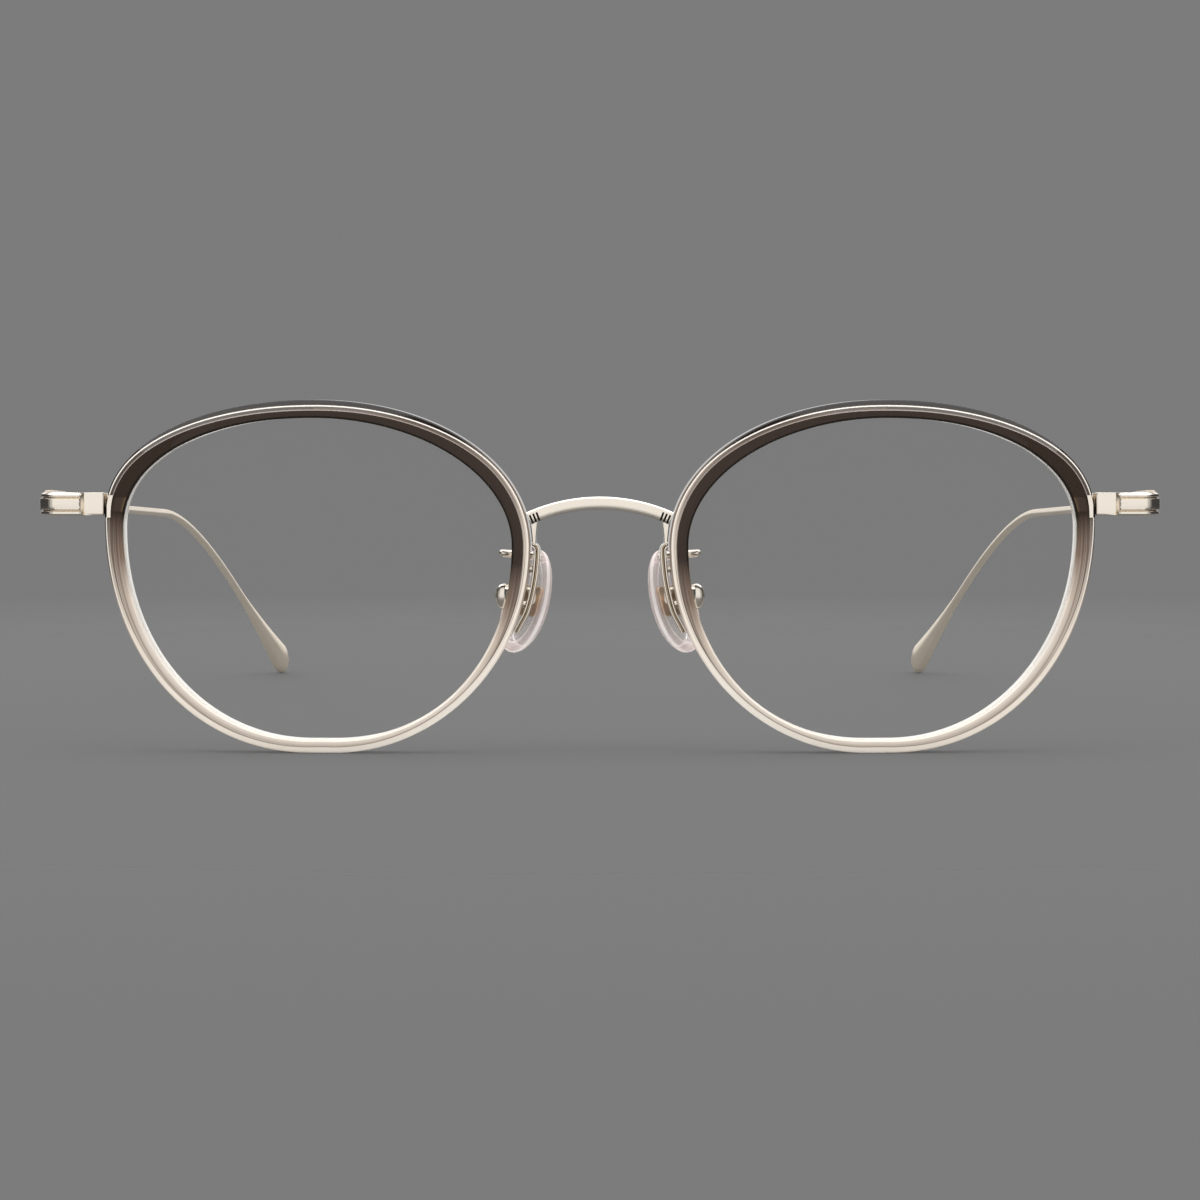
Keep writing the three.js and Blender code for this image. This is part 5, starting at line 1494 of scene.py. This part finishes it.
# Temples: one titanium wire each, pressed flat at the hinge, drawn thin along the side of the head, bent
# down behind the ear and pressed to a flat rounded tip. Bead blasting before plating makes them satin.
TEMPLE_SLOPE = 2.8
TEMPLE_SWEEP = 4.6
TEMPLE_STRAIGHT = 98
TEMPLE_DROP = 34.7
TEMPLE_TUCK = 18.5
TEMPLE_BEND = 21
TEMPLE_THICKNESS = 1.35
TEMPLE_PLATE_HEIGHT = 3.25
TEMPLE_PLATE_LENGTH = 5
TEMPLE_TAPER_LENGTH = 24
TEMPLE_WIRE = 1.1
TEMPLE_SIDES = 40
TEMPLE_STEPS = (64, 48, 32)
TEMPLE_SQUARENESS = 7
TIP_WIDTH = 4.6
TIP_THICKNESS = 2
TIP_ROUND = 3.2
TIP_REST = 0.8
TIP_STEPS = 15
TIP_STEP_ANGLE = 5.8


def backwards(down, inwards):
    """A direction to the back that slopes down and turns in by two angles, in degrees."""
    down, inwards = math.radians(down), math.radians(inwards)
    level = math.cos(down)
    return Vector((-math.sin(inwards) * level, math.cos(inwards) * level, -math.sin(down)))


temple_start = Vector((end_outer - TEMPLE_THICKNESS / 2, hinge.y + HINGE_GAP, hinge.z))
first = backwards(TEMPLE_SLOPE, TEMPLE_SWEEP)
second = backwards(TEMPLE_DROP, TEMPLE_TUCK)
corner = temple_start + first * TEMPLE_STRAIGHT
temple_end = corner + second * (corner.z - TIP_REST) / math.sin(math.radians(TEMPLE_DROP))
bend_start = corner - first * TEMPLE_BEND
bend_end = corner + second * TEMPLE_BEND
tip_start = temple_end - second * TIP_ROUND

side_steps, bend_steps, ear_steps = TEMPLE_STEPS
temple_path = []
for step in range(side_steps):
    temple_path.append((between(temple_start, bend_start, (step / side_steps) ** 1.6), first))
for step in range(bend_steps):
    share = step / bend_steps
    upper, lower = between(bend_start, corner, share), between(corner, bend_end, share)
    temple_path.append((between(upper, lower, share), between(first, second, share).normalized()))
for step in range(ear_steps + 1):
    temple_path.append((between(bend_end, tip_start, step / ear_steps), second))
for step in range(1, TIP_STEPS + 1):
    turn = math.radians(TIP_STEP_ANGLE * step)
    temple_path.append((tip_start + second * TIP_ROUND * math.sin(turn), second))

temple_rings = []
run = 0
before = temple_start
taper_end = TEMPLE_PLATE_LENGTH + TEMPLE_TAPER_LENGTH
for at, along in temple_path:
    run += (at - before).length
    before = at
    across = along.cross(UP).normalized()
    past_bend = max(0, (at - bend_end).dot(second)) if along.dot(second) > 0.99999 else 0
    thin = eased(TEMPLE_PLATE_LENGTH, taper_end, run)
    flare = min(1, past_bend / (tip_start - bend_end).length) ** 1.6
    past_tip = max(0, (at - tip_start).dot(second)) if flare == 1 else 0
    narrowing = math.sqrt(max(0, 1 - (past_tip / TIP_ROUND) ** 2))
    rise = between(between(TEMPLE_PLATE_HEIGHT, TEMPLE_WIRE, thin), TIP_WIDTH, flare) * narrowing
    thickness = between(between(TEMPLE_THICKNESS, TEMPLE_WIRE, thin), TIP_THICKNESS, flare) * narrowing
    fullness = between(TEMPLE_SQUARENESS, 2, thin)
    up = across.cross(along)
    temple_rings.append(oval(at, across, up, thickness / 2, rise / 2, fullness, TEMPLE_SIDES))
for point in temple_rings[0]:
    point.y = temple_start.y
temple = sweep("temple_wire_right", temple_rings, tips=(None, temple_end))
settle(temple, smooth=40)
satin_gold = plated_metal("satin_gold_plate", (0.93, 0.82, 0.67), 0.3, 1, 0.08, 0.85)
fit_both(temple, satin_gold, "temple_{}", "temple_{}")

low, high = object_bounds()
